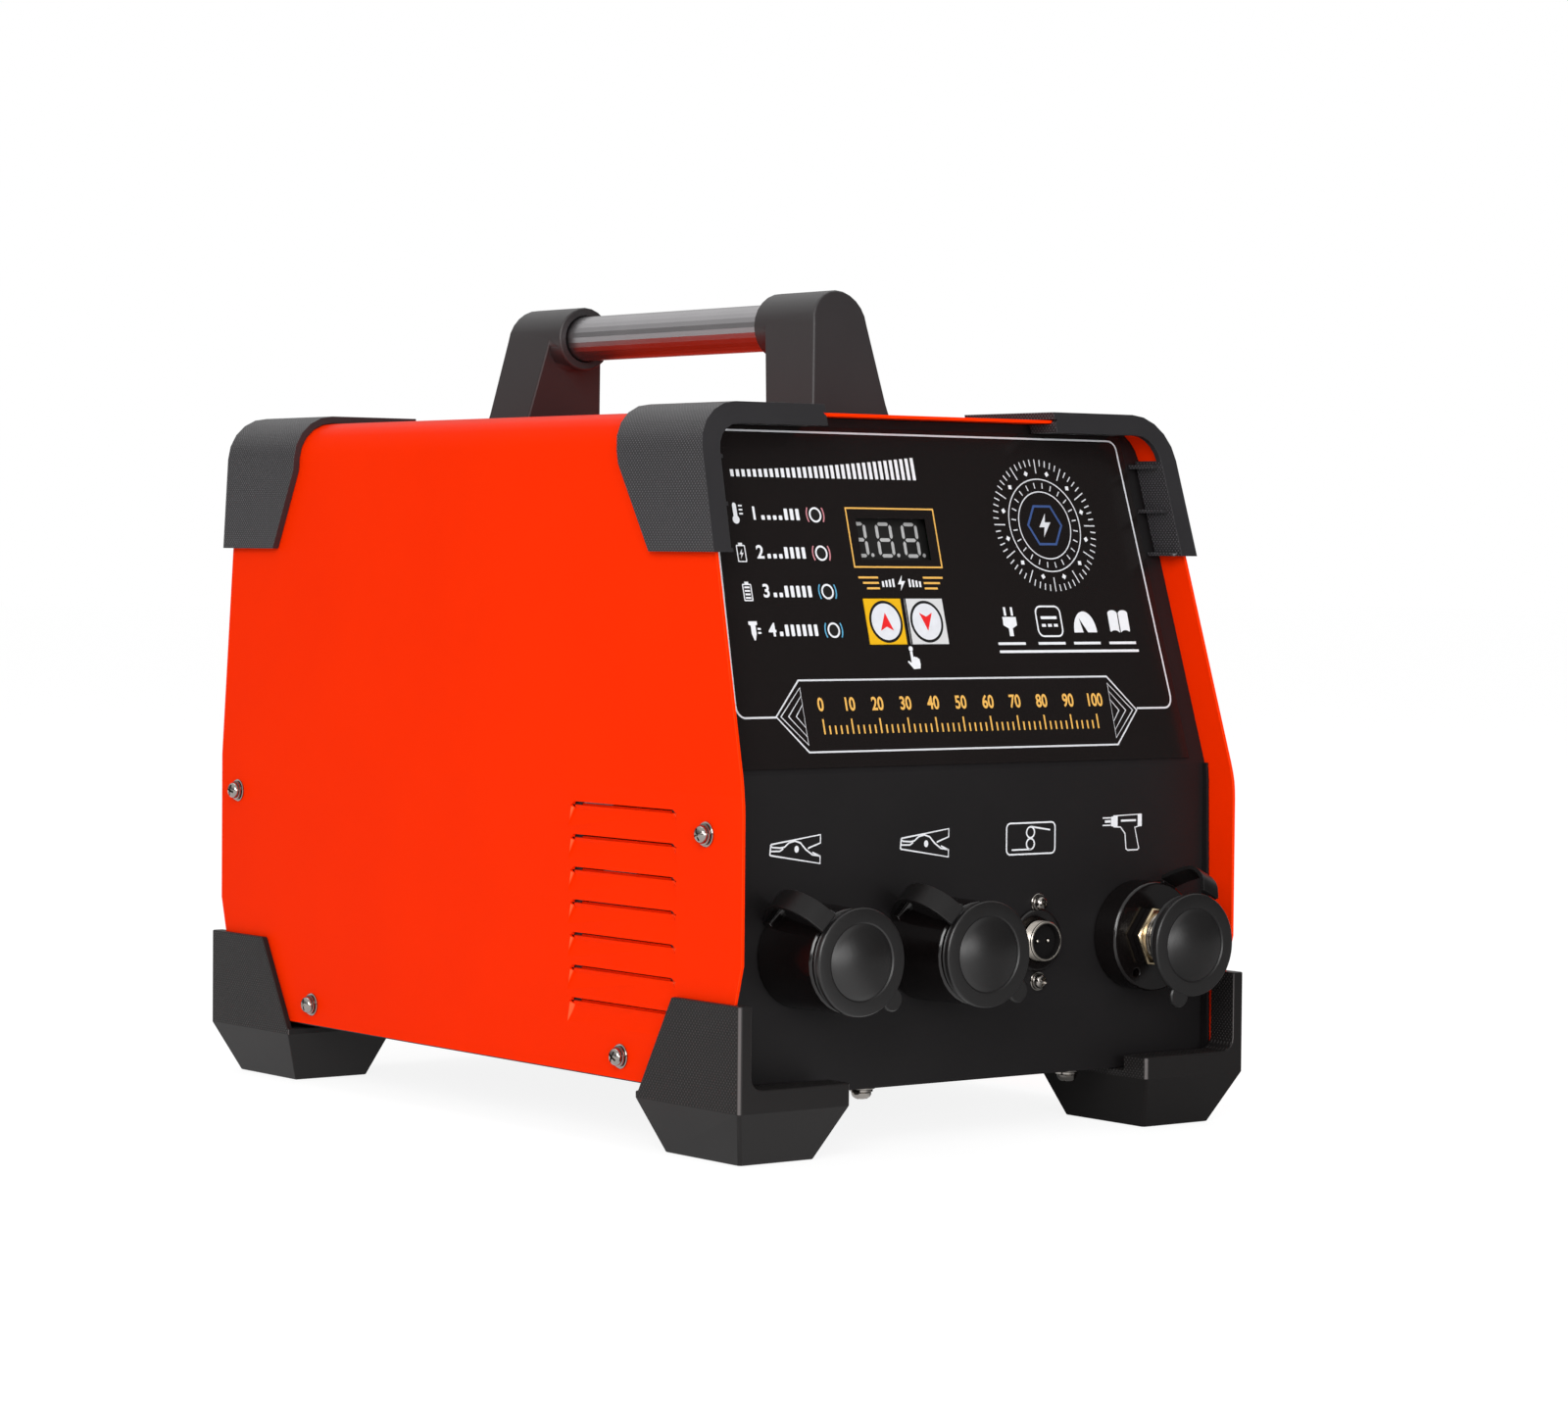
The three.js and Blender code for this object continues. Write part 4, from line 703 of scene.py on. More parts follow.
# The panel's turned edges: slim lips forward of the sides of its upright face
lips = Sizes(thick=1.2, low=4.6, high=2.2, rooted=0.2, round=0.25)
outline = sorted({
    (round(v.co.z / mm, 2), round(v.co.x / mm, 2)) for v in nodes["front_panel"].data.vertices
    if abs(v.co.y - faceY) < 0.1 * mm and v.co.x > 100 * mm
    and v.co.z < (box.fold + 0.1) * mm})
for side, way in sides:
    form = bmesh.new()
    rings = []
    for z, x in outline:
        share = (z - outline[0][0]) / (outline[-1][0] - outline[0][0])
        front = box.face - lips.low - (lips.high - lips.low) * share
        root, inner = box.face + lips.rooted, x - lips.thick
        rings.append([form.verts.new(at(way * px, y, z)) for px, y in (
            (x, root), (x, front), (inner, front), (inner, root))])
    for below, above in zip(rings, rings[1:]):
        for k in range(4):
            after = (k + 1) % 4
            form.faces.new((below[k], below[after], above[after], above[k]))
    form.faces.new(rings[0])
    form.faces.new(rings[-1])
    ops.recalc_face_normals(form, faces=form.faces)
    roundEdges(form, form.edges, lips.round)
    piece(f"panel_lip_{side}", form, finishes["panel_paint"], even=True)
print("mouldings rounded")

# Each strap stretches from its ear on the socket to the rim of its cap
for name in capPlaces:
    node = f"cap_strap_{name}"
    low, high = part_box(node)
    strap = piece(f"{node}.form", softened(node, 0.35, segments=3), finishes["strap_rubber"],
                  even=True)
    strap.parent = None
    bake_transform(strap)
    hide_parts(node)

# Signal connector: a black flange, a threaded shell, and two pins in a dark bore
signal = Sizes(
    x=0.265 * box.halfWidth, flange=12.2, flangeThick=1.6, thread=7.8, root=7.2,
    pitch=0.8, lip=6.5, inside=6.9, bore=6.5, tail=12, backed=0.1, floor=3, faceLift=3.35,
    faceThick=0.35, pinSpread=2.7, pinHole=1.05,
    pin=[(0, -4.9), (0.45, -4.8), (0.8, -4.45), (0.9, -4), (0.9, 12), (0, 12)])


def signalForms():
    inside, root, thread, bore, fit = signal.pick("inside root thread bore backed")
    thick, wide, lip, tail = signal.flangeThick, signal.flange, -signal.lip, signal.tail
    profile = [(inside, tail), (root, tail), (root, 0)]
    depth = thick  # threads run from the flange to the lip
    while depth < signal.lip - 1.5:
        profile += [(root, -depth), (thread, -depth - 0.2), (thread, -depth - 0.32)]
        depth += signal.pitch
    profile += [(root, -depth), (thread - 0.05, lip + 0.9), (thread - 0.05, lip + 0.2),
                (thread - 0.3, lip), (inside + 0.1, lip), (inside, lip + 0.15)]
    shell = turned(profile, 72, True)
    flange = turned([
        (thread + fit, -fit), (wide, -fit), (wide, -thick + 0.5), (wide - 0.5, -thick),
        (thread + 0.9, -thick), (thread + fit, -thick + 0.6)], 64, True)
    liner = turned([
        (bore, -signal.floor), (inside - 0.04, -signal.floor), (inside - 0.04, lip + 0.15),
        (bore + 0.15, lip + 0.15), (bore, lip + 0.35)], 64, True)
    pins = bmesh.new()
    for way in (-1, 1):
        join(pins, moved(turned(signal.pin, 20), (way * signal.pinSpread * mm, 0, 0)))
    return shell, flange, liner, pins


shell, flange, liner, pins = (
    moved(form, at(signal.x, box.face, box.rowHeight)) for form in signalForms())
piece("signal_shell", shell, "nickel", replaces=("signal_connector_shell",))
piece("signal_flange", flange, finishes["gloss_black"])
piece("signal_pins", pins, "nickel", replaces=("signal_pin_1", "signal_pin_2"))
filled("signal_face", [circle(signal.x, box.rowHeight, signal.bore + 0.1, 48)] + [
    circle(signal.x + way * signal.pinSpread, box.rowHeight, signal.pinHole, 20)
    for way in (-1, 1)], finishes["bore_black"], "panel",
    lift=signal.faceLift, thick=signal.faceThick)
piece("signal_liner", liner, finishes["bore_black"])

# A screw that points to -Y, on a washer and a spring washer, with a cross recess
screw = Sizes(
    head=3.45, base=1.9, rise=2.5, washer=4.7, washerThick=0.8, spring=3.95,
    neck=3.4, slot=0.9, reach=2.4, sink=1.5, crown=1.04, round=0.2)


def screwMesh():
    head, rise, base, spring, neck = screw.pick("head rise base spring neck")
    washer, thick, soft = screw.pick("washer washerThick round")
    top = base + rise * screw.crown
    profile = [
        (0, 0), (washer - soft, 0), (washer, soft), (washer, thick - soft), (washer - soft, thick),
        (neck, thick), (neck, thick + 0.15), (spring, thick + 0.25), (spring, base - 0.2),
        (spring - 0.3, base - 0.1), (head - 0.35, base), (head, base + 0.25),
        (head - 0.1, base + rise * 0.4), (head - 0.5, base + rise * 0.7),
        (head - 1.3, base + rise * 0.92), (head - 2.2, base + rise), (0, top)]
    cutter = bmesh.new()
    for turn in (0, pi / 2):
        block(cutter, (screw.reach * 2, screw.sink * 2, screw.slot), (0, -top * mm, 0), turn)
    body = linked("body", asMesh(turned([(r, -y) for r, y in profile], 36)))
    cross = linked("cross", asMesh(cutter))
    carve = body.modifiers.new("recess", "BOOLEAN")
    carve.operation = "DIFFERENCE"
    carve.solver = "EXACT"
    carve.use_self = True
    carve.object = cross
    done = evaluated(body)
    bpy.data.objects.remove(body)
    bpy.data.objects.remove(cross)
    return done


screwShape = screwMesh()
screwSteel = drawn("screw_steel", (0.31, 0.29, 0.27), 0.12)
facing = {way: rotation(radians(turn), 4, axis) for way, turn, axis in (
    ("front", 0, "Z"), ("rear", 180, "Z"), ("left", -90, "Z"), ("right", 90, "Z"),
    ("down", 90, "X"))}
spots = Sizes(
    side=[(173.8, 121.2), (-165.8, 121.3), (-112.3, 34.3), (112.3, 34.3)],  # Y, Z
    pan=[(x, y, 23.3) for x in (-47, 56) for y in (-164, 164)],
    signal=[(signal.x + 1, box.face, box.rowHeight - 0.8 + z) for z in (-15.2, 15.2)],
    rear=[(x, box.rearFace, z) for x, z in ((-104, 248), (104, 248), (-106, 36), (106, 36))],
    firstTurn=0.3, nextTurn=0.9,  # each screw stops at another turn
)


def screws(name, places, way, size=1):
    form = bmesh.new()
    for i, place in enumerate(places):
        spin = rotation(spots.firstTurn + i * spots.nextTurn, 4, "Y")
        join(form, screwShape.copy(),
             translation(at(*place)) @ facing[way] @ spin @ Matrix.Scale(size, 4))
    piece(name, form, screwSteel)


for side, way in sides:
    screws(f"side_screws_{side}", [(way * box.halfWidth, y, z) for y, z in spots.side], side)
screws("pan_screws", spots.pan, "down", 1.12)
screws("signal_screws", spots.signal, "front", 0.8)
print("screws placed")

# Print on the leaning film: the border is open where the banner stands
borderRight = ([(-98.5, 270.9), (96.6, 270.9)] + sweep(97.4, 266.9, 3.9, 4, 75, 10, 5)
               + [(107.2, 169.2)] + sweep(102.9, 168.7, 4.2, 4.1, -15, -80, 5) + [(88.2, 164.7)])
borderLeft = ([(-98.5, 270.9)] + sweep(-98.9, 266.9, 3.9, 4, 105, 170, 5)
              + [(-109.1, 168.6)] + sweep(-105, 167.8, 4.1, 4.1, 195, 260, 5) + [(-91.1, 163.8)])
stroke("film_border", [(borderRight, False), (borderLeft, False)], 0.75, "line")

banner = Sizes(
    left=-91.1, right=88, mid=164, half=13.3, inset=12.9,
    wedges=((2.2, 10.6), (5.8, 7.6), (9.4, 4.3)), wedgeEnd=13.1,  # tip, half height
    zero=-69.5, step=2.72, marks=51, foot=157.2, long=5.6, short=3.2, mark=0.35,
    numberStep=13.6, numberZ=168)
left, right, inset, mid, half = banner.pick("left right inset mid half")
hexagon = [(left, mid), (left + inset, mid + half), (right - inset, mid + half), (right, mid),
           (right - inset, mid - half), (left + inset, mid - half)]
wedges = []
for tip, reach in banner.wedges:
    for edge, way in ((left, 1), (right, -1)):
        back = edge + way * banner.wedgeEnd
        wedges.append(([(edge + way * tip, mid), (back, mid + reach), (back, mid - reach)], True))
stroke("banner_outline", [(hexagon, True)], 0.75, "line")
stroke("banner_wedges", wedges, 0.6, "line")
marks = []
for i in range(banner.marks):
    x = banner.zero + i * banner.step
    top = banner.foot + (banner.short if i % 5 else banner.long)
    marks.append(rectangle(x - banner.mark, x + banner.mark, banner.foot, top))
filled("banner_scale", marks, "gold")
numerals("banner_numerals", [
    (str(i * 10), banner.zero + i * banner.numberStep, banner.numberZ)
    for i in range(11)], "gold", 0.8)

# A bar of rising levels where the heading is
heading = Sizes(
    start=-94.5, step=2.66, count=34, wide=1.5, foot=253.4, least=2.6, rise=6, curve=1.5)
levels = []
for i in range(heading.count):
    x = heading.start + i * heading.step
    share = i / (heading.count - 1)
    tall = heading.least + heading.rise * share ** heading.curve
    levels.append(rectangle(x, x + heading.wide, heading.foot, heading.foot + tall))
filled("heading_levels", levels)

# Four rows: pictogram, row number, leader dots, ringed lamp between brackets
bolt = [(0.6, 2.9), (-1.9, -0.5), (-0.2, -0.5), (-0.9, -2.9), (1.9, 0.7), (0.1, 0.7)]
thermometer = [
    [(-0.9, -1.2), (-0.9, 3.2)] + sweep(0, 3.2, 0.9, 0.9, 180, 0, 6) + [(0.9, -1.2)]
    + sweep(0, -2.2, 1.6, 1.6, 50, -230, 14)] + [bar(1.9, 3.6, z, 0.6) for z in (3, 1.5, 0)]
battery = [roundedBox(-2.1, 2.1, -3.6, 2.8, 0.4), roundedBox(-1.65, 1.65, -3.15, 2.35, 0.2),
           bar(-0.9, 0.9, 3.2, 0.8)]
charging = battery + [
    [(0.5, 1.4), (-0.9, -0.6), (-0.1, -0.6), (-0.5, -2.3), (0.9, -0.1), (0.1, -0.1)]]
charged = battery + [bar(-1.2, 1.2, z, 0.65) for z in (-2.4, -1.1, 0.2, 1.5)]
nozzle = [
    [(-2, 3.4), (2, 3.4), (2, 2.2), (1.1, 1.8), (1.1, -1.2), (0.3, -3.6), (-0.3, -3.6),
     (-1.1, -1.2), (-1.1, 1.8), (-2, 2.2)],
    bar(1.9, 3.4, 0.6, 0.7), bar(1.9, 3.4, -0.9, 0.7)]
rows = Sizes(
    heights=(239.4, 224.9, 210.4, 195.9), signs=(thermometer, charging, charged, nozzle),
    brackets=("pink", "pink", "blue", "blue"), signX=-95.2, numberX=-86.4,
    leaderX=-82.4, leaders=7, leaderStep=2.75, leaderHalf=0.8, leaderFoot=-2.15,
    dot=1.7, dash=4.3, leaderRound=0.35, lampX=-57.4, ring=2.55, bracketX=3.2, bracketWide=7.3,
    bracketTall=6.4)
lampX = rows.lampX
for i, (z, shapes) in enumerate(zip(rows.heights, rows.signs)):
    filled(f"row_sign_{i + 1}", [scaled(shape, rows.signX, z) for shape in shapes])
numerals("row_numbers", [(str(i + 1), rows.numberX, z) for i, z in enumerate(rows.heights)])
leaders = []
for i, z in enumerate(rows.heights):
    for k in range(rows.leaders):
        x = rows.leaderX + k * rows.leaderStep
        foot = z + rows.leaderFoot
        tall = rows.dot if k < 4 - i else rows.dash
        leaders.append(roundedBox(x - rows.leaderHalf, x + rows.leaderHalf, foot, foot + tall,
                                  rows.leaderRound))
filled("row_leaders", leaders)
stroke("lamp_rings", [(circle(lampX, z, rows.ring), True) for z in rows.heights], 0.75)
for i, (z, color) in enumerate(zip(rows.heights, rows.brackets)):
    pair = [(sweep(lampX + way * rows.bracketX, z, rows.bracketWide, rows.bracketTall,
                   start, end, 8), False) for way, start, end in ((1, 155, 205), (-1, 25, -25))]
    stroke(f"lamp_brackets_{i + 1}", pair, 0.6, color)

# Display: gold frame, a mask round the window, and the digits well behind it
display = Sizes(
    left=-38.3, right=-4.3, depth=4.6, digit=8, tall=13.5, pitch=12.7,
    digitX=-0.4, digitZ=231.4, stroke=1.35, point=0.75, frame=(-42.4, 0.5, 219.8, 242.2))
x0, x1, z0, z1 = display.frame
stroke("display_frame", [([(x0, z1), (x1, z1), (x1, z0), (x0, z0)], True)], 0.9, "gold")
filled("display_mask", [bar(-41.8, 0, 231, 21.2),
                        bar(display.left, display.right, 230.5, 15.8)],
       finishes["label_film"], thick=0.05)
back = filled("display_back", [bar(-40.8, -1, 231, 19.4)], finishes["display"],
              lift=-display.depth - 0.3, thick=0.3)


def digitSegments(cx, cz):
    w, h, t = display.digit / 2, display.tall / 2, display.stroke / 2

    def segment(x0, x1, z0, z1):  # pointed at both ends
        dx, dz = (t, -t) if z0 == z1 else (-t, t)
        return [(x0, z0), (x0 + t, z0 + t), (x1 - dx, z1 - dz), (x1, z1), (x1 - t, z1 - t),
                (x0 + dx, z0 + dz)]

    upper, lower = (cz + 0.4, cz + h - 0.9), (cz - h + 0.9, cz - 0.4)
    level = [segment(cx - w + 2 * t, cx + w - 2 * t, z, z) for z in (cz + h - t, cz, cz - h + t)]
    stands = [segment(x, x, *span) for span in (upper, lower) for x in (cx - w + t, cx + w - t)]
    return level + stands + [circle(cx + w + 1.5, lower[0], display.point, 12)]


digitX = (display.left + display.right) / 2 + display.digitX
filled("display_digits", [outline for k in (-1, 0, 1) for outline in digitSegments(
    digitX + k * display.pitch, display.digitZ)],
    ink("segment_grey", (0.42, 0.42, 0.42)), lift=-display.depth, thick=0.1)
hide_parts("display_module")

goldBars = [(-41.5, -32, 215.8), (-39.7, -32, 213.75), (-38.1, -31.9, 211.7),
            (-9.9, -0.2, 215.8), (-9.9, -1.9, 213.75), (-9.8, -3.4, 211.7)]
filled("gold_bars", [bar(*row, 0.75) for row in goldBars], "gold")
meter = Sizes(x=-20.9, z=213.75, foot=212.2, top=215.3, near=4, step=1.7, fall=0.3, half=0.45)
meterSigns = [scaled(bolt, meter.x, meter.z)]
for way in (-1, 1):
    for k in range(4):
        x = meter.x + way * (meter.near + k * meter.step)
        meterSigns.append(rectangle(x - meter.half, x + meter.half, meter.foot,
                                    meter.top - meter.fall * k))
filled("meter_signs", meterSigns)

# Key faces: a white disc, its rim and a red arrow, and a dark line between the keys
keys = Sizes(
    places=(("key_up", -31.6, 1), ("key_down", -11.6, -1)), z=199, rim=8, disc=6.95,
    inset=0.3, line=0.6, tall=18.4, layer=0.02,
    arrow=[(0, 3.5), (3.15, -3.4), (0, -1.9), (-3.15, -3.4)])
for node, cx, way in keys.places:
    low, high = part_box(node)
    edge = (high.x if way > 0 else low.x) / mm - way * keys.inset
    edgeLine = bar(edge - keys.line / 2, edge + keys.line / 2, keys.z, keys.tall)
    filled(f"{node}.rim", [circle(cx, keys.z, keys.rim, 48), edgeLine], "black", body=node)
    filled(f"{node}.disc", [circle(cx, keys.z, keys.disc, 48)], "disc", body=node, lift=keys.layer)
    filled(f"{node}.arrow", [scaled(keys.arrow, cx, keys.z, flip=way)], "red",
           body=node, lift=2 * keys.layer)

hand = [[(-1.1, 0.3), (-1.1, 3), (-0.6, 3.3), (0.1, 3), (0.1, 0.9), (0.9, 1.2), (1.3, 0.8),
         (1.9, 0.9), (2.3, 0.4), (2.9, 0.3), (3.1, -1.8), (2.7, -3.4), (-0.4, -3.6), (-2.9, -0.9),
         (-2.5, -0.4), (-1.1, -1.3)], circle(-0.5, 4.1, 1, 16)]
filled("press_sign", [scaled(shape, -21.2, 184.6) for shape in hand])

# A dial rose: rings of ticks and diamonds round a blue hexagon
rose = Sizes(
    x=56.6, z=236.7, rim=26, longTick=20.5, tick=23.4, rings=(13.2, 18.2),
    spoke=(14.6, 16.8), diamonds=20.9, diamond=1.1, hexagon=8.6, bolt=1.6)


# Points on one ray of the rose, its turn in degrees
def ray(turn, *radii):
    return [polar(rose.x, rose.z, radians(turn), r) for r in radii]


ticks = [(ray(i * 6, rose.tick if i % 5 else rose.longTick, rose.rim), False) for i in range(60)]
rings = [(circle(rose.x, rose.z, r, 64), True) for r in rose.rings]
spokes = [(ray(i * 15 + 7.5, *rose.spoke), False) for i in range(24)]
stroke("rose_lines", ticks + rings + spokes, 0.5, "line")
diamonds = []
for turn in range(15, 375, 30):
    (cx, cz), = ray(turn, rose.diamonds)
    diamonds.append([polar(cx, cz, radians(turn + more), rose.diamond)
                     for more in (0, 90, 180, -90)])
filled("rose_diamonds", diamonds)
six = [ray(turn, rose.hexagon)[0] for turn in range(0, 360, 60)]
stroke("rose_hexagon", [(six, True)], 1.1, "dark_blue")
filled("rose_bolt", [scaled(bolt, rose.x, rose.z, rose.bolt)], "line")

# Four pictograms over their underlines
plug = [[(-1, -5.6), (1, -5.6), (1, -2.6), (3.4, -1.4), (3.4, 1.8), (-3.4, 1.8),
         (-3.4, -1.4), (-1, -2.6)],
        rectangle(-2.3, -1.2, 2.3, 5.6), rectangle(1.2, 2.3, 2.3, 5.6)]
gauge = [sweep(0, -3.6, 5.9, 8.2, 0, 180, 20) + [(-1.2, -3.6), (-2.6, 2.2), (1.2, -3.6)]]
book = [[(-0.3, -4.4), (-0.3, 3.2)] + sweep(-2.8, 3, 2.5, 1.4, 20, 165, 8) + [(-5.2, -3.6)]
        + sweep(-2.8, -4.8, 2.4, 1.3, 150, 25, 8),
        [(0.3, -4.4), (0.3, 3.2)] + sweep(2.8, 3, 2.5, 1.4, 160, 15, 8) + [(5.2, -3.6)]
        + sweep(2.8, -4.8, 2.4, 1.3, 30, 155, 8)]
pictures = ((plug, 30, 198.9), (gauge, 68.4, 198.2), (book, 86.6, 198.9))
filled("picture_signs", [scaled(shape, x, z) for shapes, x, z in pictures for shape in shapes])
stroke("current_sign_frame", [(roundedBox(44, 56.6, 193.2, 204.8, 2.6), True)], 0.7)
currentBars = [(46.2, 54.4, 200.4), (46.2, 48.2, 197.4), (49.3, 51.3, 197.4), (52.4, 54.4, 197.4)]
filled("current_sign", [bar(*row, 1.1) for row in currentBars])
underlines = [(22.4, 36.3, 190.4), (42.9, 56.8, 190.4), (61.3, 75.1, 190.4), (79.8, 93.8, 190.4),
              (22.5, 94.6, 187.3)]
filled("underlines", [bar(*row, 1) for row in underlines])

# Signs over the sockets: two clamps, feed rollers and a gun
clamp = [
    [(-11.8, 2), (11.4, 5), (11.4, 1.9), (6.9, 0.5), (5.5, 0)],
    [(-12.2, -2), (11.3, -5.8), (11.3, -3), (7.6, -1.5)],
    [(-11.9, 1.6), (-11, 0.9), (-7.4, 0.6), (-5.4, 0.9), (-3.4, 2.4), (-0.6, 3), (2, 2.2),
     (4.6, -0.4), (7.6, -2.4), (11.3, -3)],
    [(-11.8, 2), (-12.2, -2)],
    [(-11.9, -0.5), (-7.6, -0.6), (-6, 0.3)]]
clamps = [(scaled(run, cx, cz), False) for cx, cz in ((-85.2, 115), (-23.3, 115.3))
          for run in clamp]
stroke("clamp_signs", clamps, 0.62, surface="panel")
filled("clamp_rivets", [sweep(x, 114.9, 1, 1.3, 0, 345, 23) for x in (-85, -23)],
       surface="panel")
rollers = [(roundedBox(17, 41.6, 109.2, 121.3, 1.9), True)] + [
    (sweep(29.1, z, 2, 2.1, 0, 345, 23), True) for z in (117.6, 113.1)] + [
    ([(29.4, 119.8), (39, 118.3)], False), ([(19.6, 111), (29.2, 111)], False)]
stroke("signal_sign", rollers, 0.62, surface="panel")
gunOutline = [(72, 122.7), (86.4, 123), (86.6, 118.6), (83.1, 117.9), (85.3, 109.6),
              (84.6, 109), (79.4, 109), (78.6, 109.6), (78, 115.6), (75.6, 118.2),
              (72, 118.4)]
stroke("gun_sign", [(gunOutline, True)], 0.55, surface="panel")
filled("gun_sign_nose", [
    [(70.6, 122.4), (74, 122.7), (74, 118.2), (70.6, 118.7)], bar(66.2, 70.4, 122, 0.5),
    bar(66.2, 70.4, 119.1, 0.5), bar(67.4, 70.4, 120.6, 1), bar(75.8, 83.6, 120.7, 0.8),
    [(84.6, 118.2), (86.7, 118.2), (86.7, 123), (84.6, 123)]], surface="panel")
print("panel print laid")

# Rear wall: the fan's wire guard and the screws
guard = Sizes(
    x=34, z=168, holes=52.5, bore=114, ringShares=(0.3, 0.52, 0.74, 0.96),
    wire=1, standoff=3.3, screwOut=2.4,
    crossing=4.6,  # the spokes' distance from the wall where they cross
    bend=((10, 4.6), (7.5, 4.2), (5.5, 2.6), (4, 1.5)),  # before the corner, off the wall
    eye=3.3, eyeOut=1.3, eyeStep=29, eyeSteps=12)
corner = guard.holes * sqrt(2)


# One wire from the middle out to a corner, down to the wall and round its screw
def spokeRun(turn):
    way = Vector((cos(turn), 0, sin(turn)))
    run = [way * r + Vector((0, y, 0)) for r, y in [(0, guard.crossing)] + [
        (corner - before, out) for before, out in guard.bend]]
    for i in range(guard.eyeSteps):
        x, z = polar(0, 0, turn + pi + radians(i * guard.eyeStep), guard.eye)
        run.append(way * corner + Vector((x, guard.eyeOut, z)))
    return run


spokes = polyCurve([(spokeRun(radians(45 + 90 * i)), False) for i in range(4)])
spokes.bevel_depth = guard.wire * mm
spokes.bevel_resolution = 3
spokes.use_fill_caps = True
guardForm = bmesh.new()
join(guardForm, curveMesh(spokes))
for share in guard.ringShares:
    section = sweep(share * guard.bore / 2, guard.standoff, guard.wire, guard.wire, 0, 360, 10)
    join(guardForm, turned(section, 96))
moved(guardForm, at(guard.x, box.rearFace, guard.z))
piece("fan_guard.form", guardForm, "guard_wire", replaces=("fan_guard",))
screws("fan_screws", [(guard.x + a * guard.holes, box.rearFace + guard.screwOut,
                       guard.z + b * guard.holes) for a in (-1, 1) for b in (-1, 1)], "rear", 0.85)
screws("rear_screws", spots.rear, "rear", 0.85)

# Marks for on and off on the rocker's two sloping halves
rocker = Sizes(
    x=-72, axis=169.3, z=205, rest=-0.2, top=7, dip=2, half=7.3,
    size=1.7, barWide=0.75, ringHalf=0.35, thick=0.06, proud=0.05)
size, flat = rocker.size, rocker.thick / 2
onMark = bmesh.new()  # a bar on the upper half
block(onMark, (rocker.barWide, rocker.thick, size * 2))
roundEdges(onMark, onMark.edges, 0.02, 1)
offMark = turned([  # a ring on the lower half
    (size - rocker.ringHalf, -flat), (size + rocker.ringHalf, -flat),
    (size + rocker.ringHalf, flat), (size - rocker.ringHalf, flat)], 32, True)
marks = bmesh.new()
slope = atan(rocker.dip / rocker.half)
for way, mark in ((-1, offMark), (1, onMark)):
    lifted = Vector((0, rocker.top - rocker.dip / 2 + rocker.proud, way * rocker.half / 2)) * mm
    join(marks, mark, translation(at(rocker.x, rocker.axis, rocker.z))
         @ rotation(rocker.rest, 4, "X") @ translation(lifted)
         @ rotation(-way * slope, 4, "X"))
piece("rocker_marks", marks, "white", "power_rocker")

studio = Sizes(
    floorSize=14, floorDrop=-0.0002, floorWhite=(0.85, 0.85, 0.85, 1),
    floorSeen=(0.24, 0.24, 0.24, 1), floorLift=0.87, ambient=0.45,
    flag=(0.8, -0.6, 0), flagStart=0.45, flagEnd=0.78, flagLevel=0.09,
    horizon=0.3, horizonStart=0.15, horizonEnd=0.6)
floor = bmesh.new()
ops.create_grid(floor, x_segments=1, y_segments=1, size=studio.floorSize)
floorMesh = asMesh(moved(floor, (0, 0, studio.floorDrop)))
floorPiece = linked("floor", floorMesh)
ground = Finish("floor_white", studio.floorWhite[:3], 0.9, specular=0.05)
direct = ground.add("LightPath", output="Is Camera Ray")
glossy = direct.output("Is Glossy Ray")
passing = direct.output("Is Transmission Ray")
seen = direct.most(glossy).most(passing)
outwards = ground.add("VectorMath", {"operation": "NORMALIZE"}, {0: ground.coordinates()})
lift = (direct.most(passing) + glossy * ground.flagged(outwards)).least(1)
ground.feed("Emission Color", ground.mix(lift, (0, 0, 0, 1), (1, 1, 1, 1)))
ground.shader.inputs["Emission Strength"].default_value = studio.floorLift
ground.feed("Base Color", ground.mix(seen, studio.floorWhite, studio.floorSeen))
floorMesh.materials.append(ground.material)


# White to the camera, with a dark flag at the front right in what the gloss mirrors
class Sky(Finish):
    def __init__(self, name):
        self.world = bpy.data.worlds.new(name)
        self.world.use_nodes = True
        self.tree = self.world.node_tree
        self.back = self.tree.nodes["Background"]


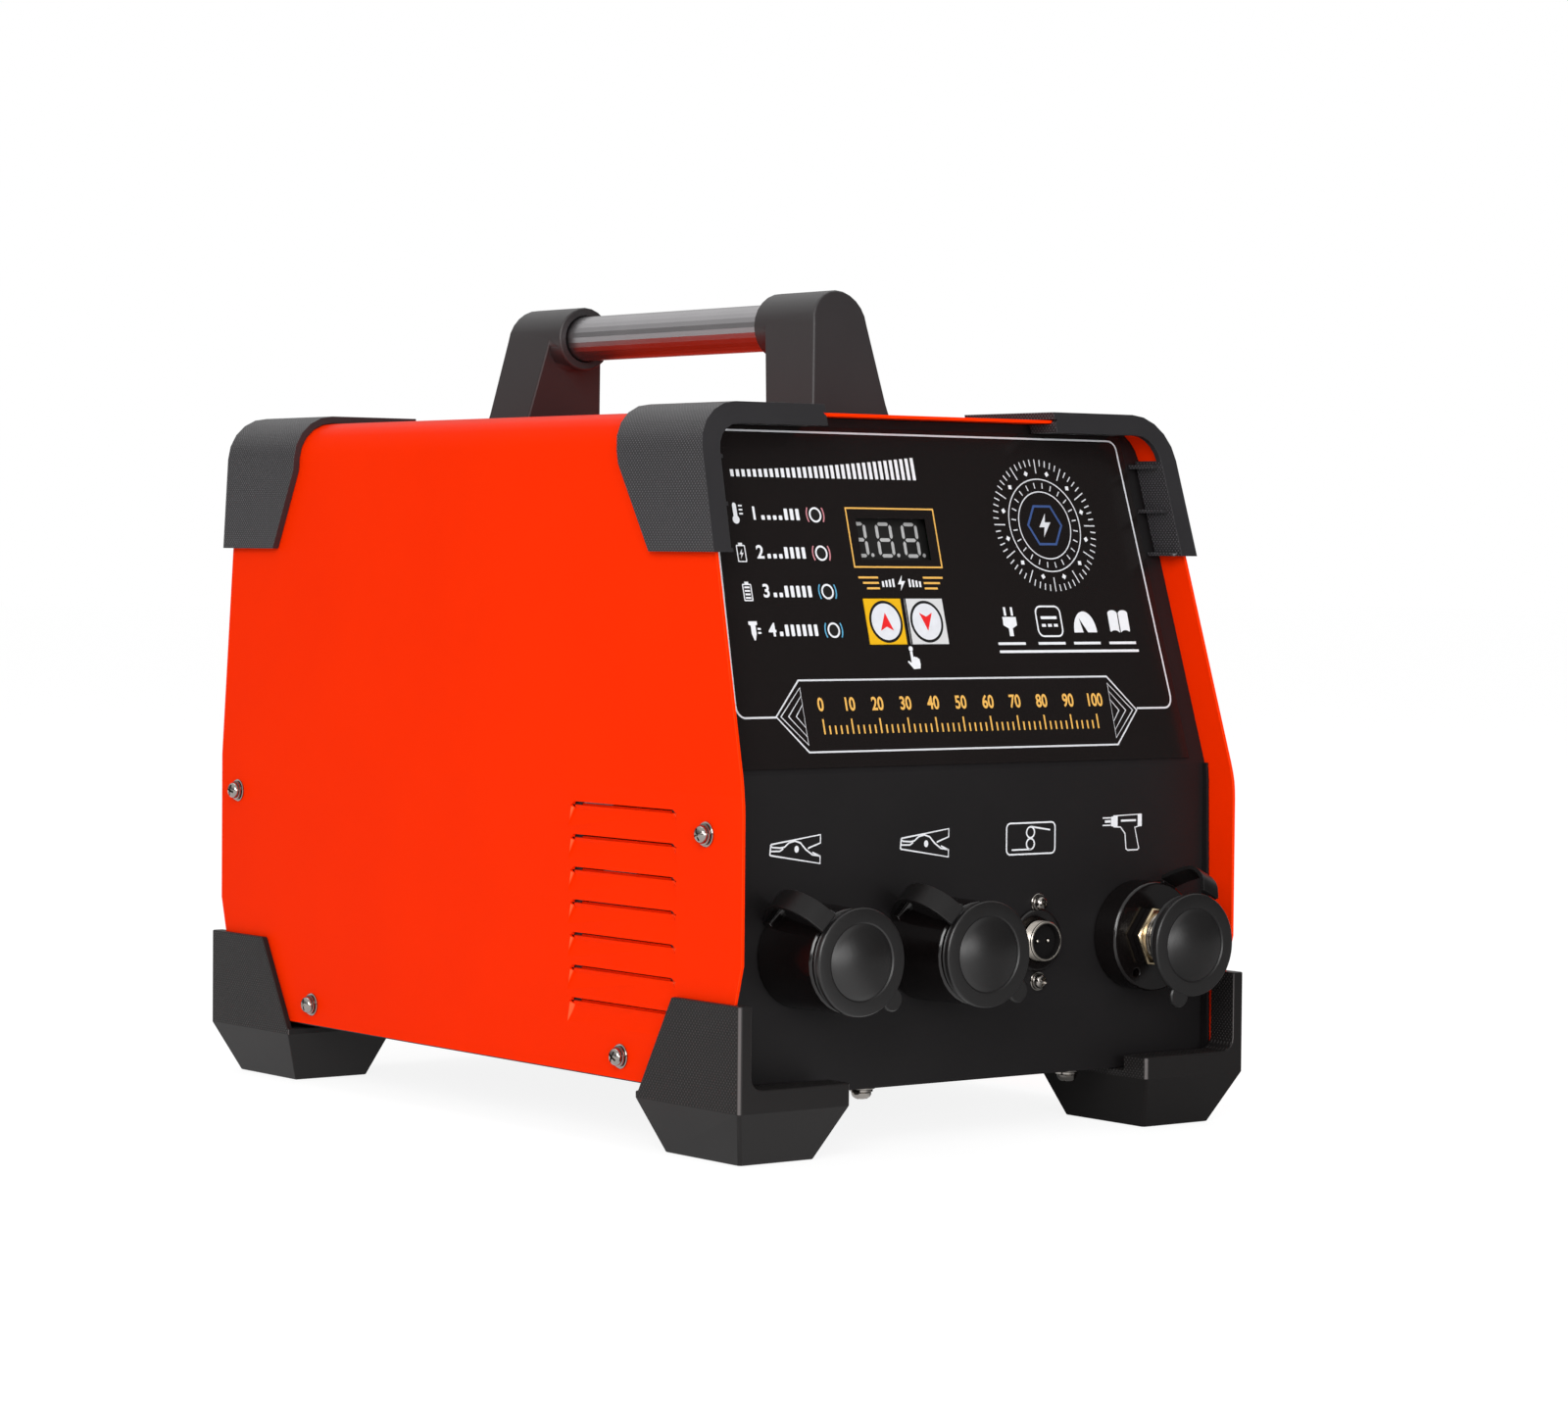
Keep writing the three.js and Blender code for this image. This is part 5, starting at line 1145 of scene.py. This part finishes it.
sky = Sky("studio")
scene.world = sky.world
sky.back.inputs["Color"].default_value = (1, 1, 1, 1)
direct = sky.add("LightPath", output="Is Camera Ray")
mirrored = direct.output("Is Glossy Ray")
plain = direct.most(direct.output("Is Transmission Ray"))
dimmed = sky.flagged(sky.coordinates("Generated"))
upwards = sky.dot(sky.coordinates("Generated"), (0, 0, 1))
overhead = sky.eased(upwards, studio.horizonStart, studio.horizonEnd, studio.horizon, 1)
level = plain + (1 - plain) * (mirrored * dimmed * overhead + (1 - mirrored) * studio.ambient)
sky.tree.links.new(level.socket, sky.back.inputs["Strength"])

lamps = {  # place, target, width and height, watts
    "key": ((-1.9, -1.8, 1.2), (0, 0, 0.15), (1.3, 1.3), 40),
    "front": ((-0.55, -2.6, 0.42), (0, 0, 0.15), (2.2, 0.8), 27),
    "top": ((0.2, 0.5, 2.4), (0, 0, 0.2), (1.8, 1.8), 12),
}
for name, (place, target, size, power) in lamps.items():
    light = bpy.data.lights.new(name, "AREA")
    light.shape = "RECTANGLE"
    light.size, light.size_y = size
    light.energy = power
    obj = linked(name, light)
    obj.location = place
    aim = Vector(target) - Vector(place)
    obj.rotation_euler = aim.to_track_quat("-Z", "Y").to_euler()
    obj.visible_camera = False

# The view, fitted to the photograph: lengths in millimetres, focal length in pixels
view = Sizes(
    place=(-1067.8, -1454.1, 224.1), azimuth=-37.291, elevation=2.064, roll=0.496,
    focal=4446, pixels=1600, sensor=36, end=60)
az, el, roll = (radians(view[key]) for key in ("azimuth", "elevation", "roll"))
forward = Vector((-sin(az) * cos(el), cos(az) * cos(el), -sin(el)))
across = Vector((cos(az), sin(az), 0))
upward = across.cross(forward)
rightWay = across * cos(roll) + upward * sin(roll)
upWay = upward * cos(roll) - across * sin(roll)
camera = bpy.data.cameras.new("camera")
camera.sensor_fit = "HORIZONTAL"
camera.sensor_width = view.sensor
camera.lens = view.focal * view.sensor / view.pixels
camera.clip_end = view.end
cameraPiece = linked("camera", camera)
turn = Matrix((rightWay, upWay, -forward)).transposed().to_4x4()
cameraPiece.matrix_world = translation(at(*view.place)) @ turn
scene.camera = cameraPiece
scene.view_settings.view_transform = "Standard"
print("view set")
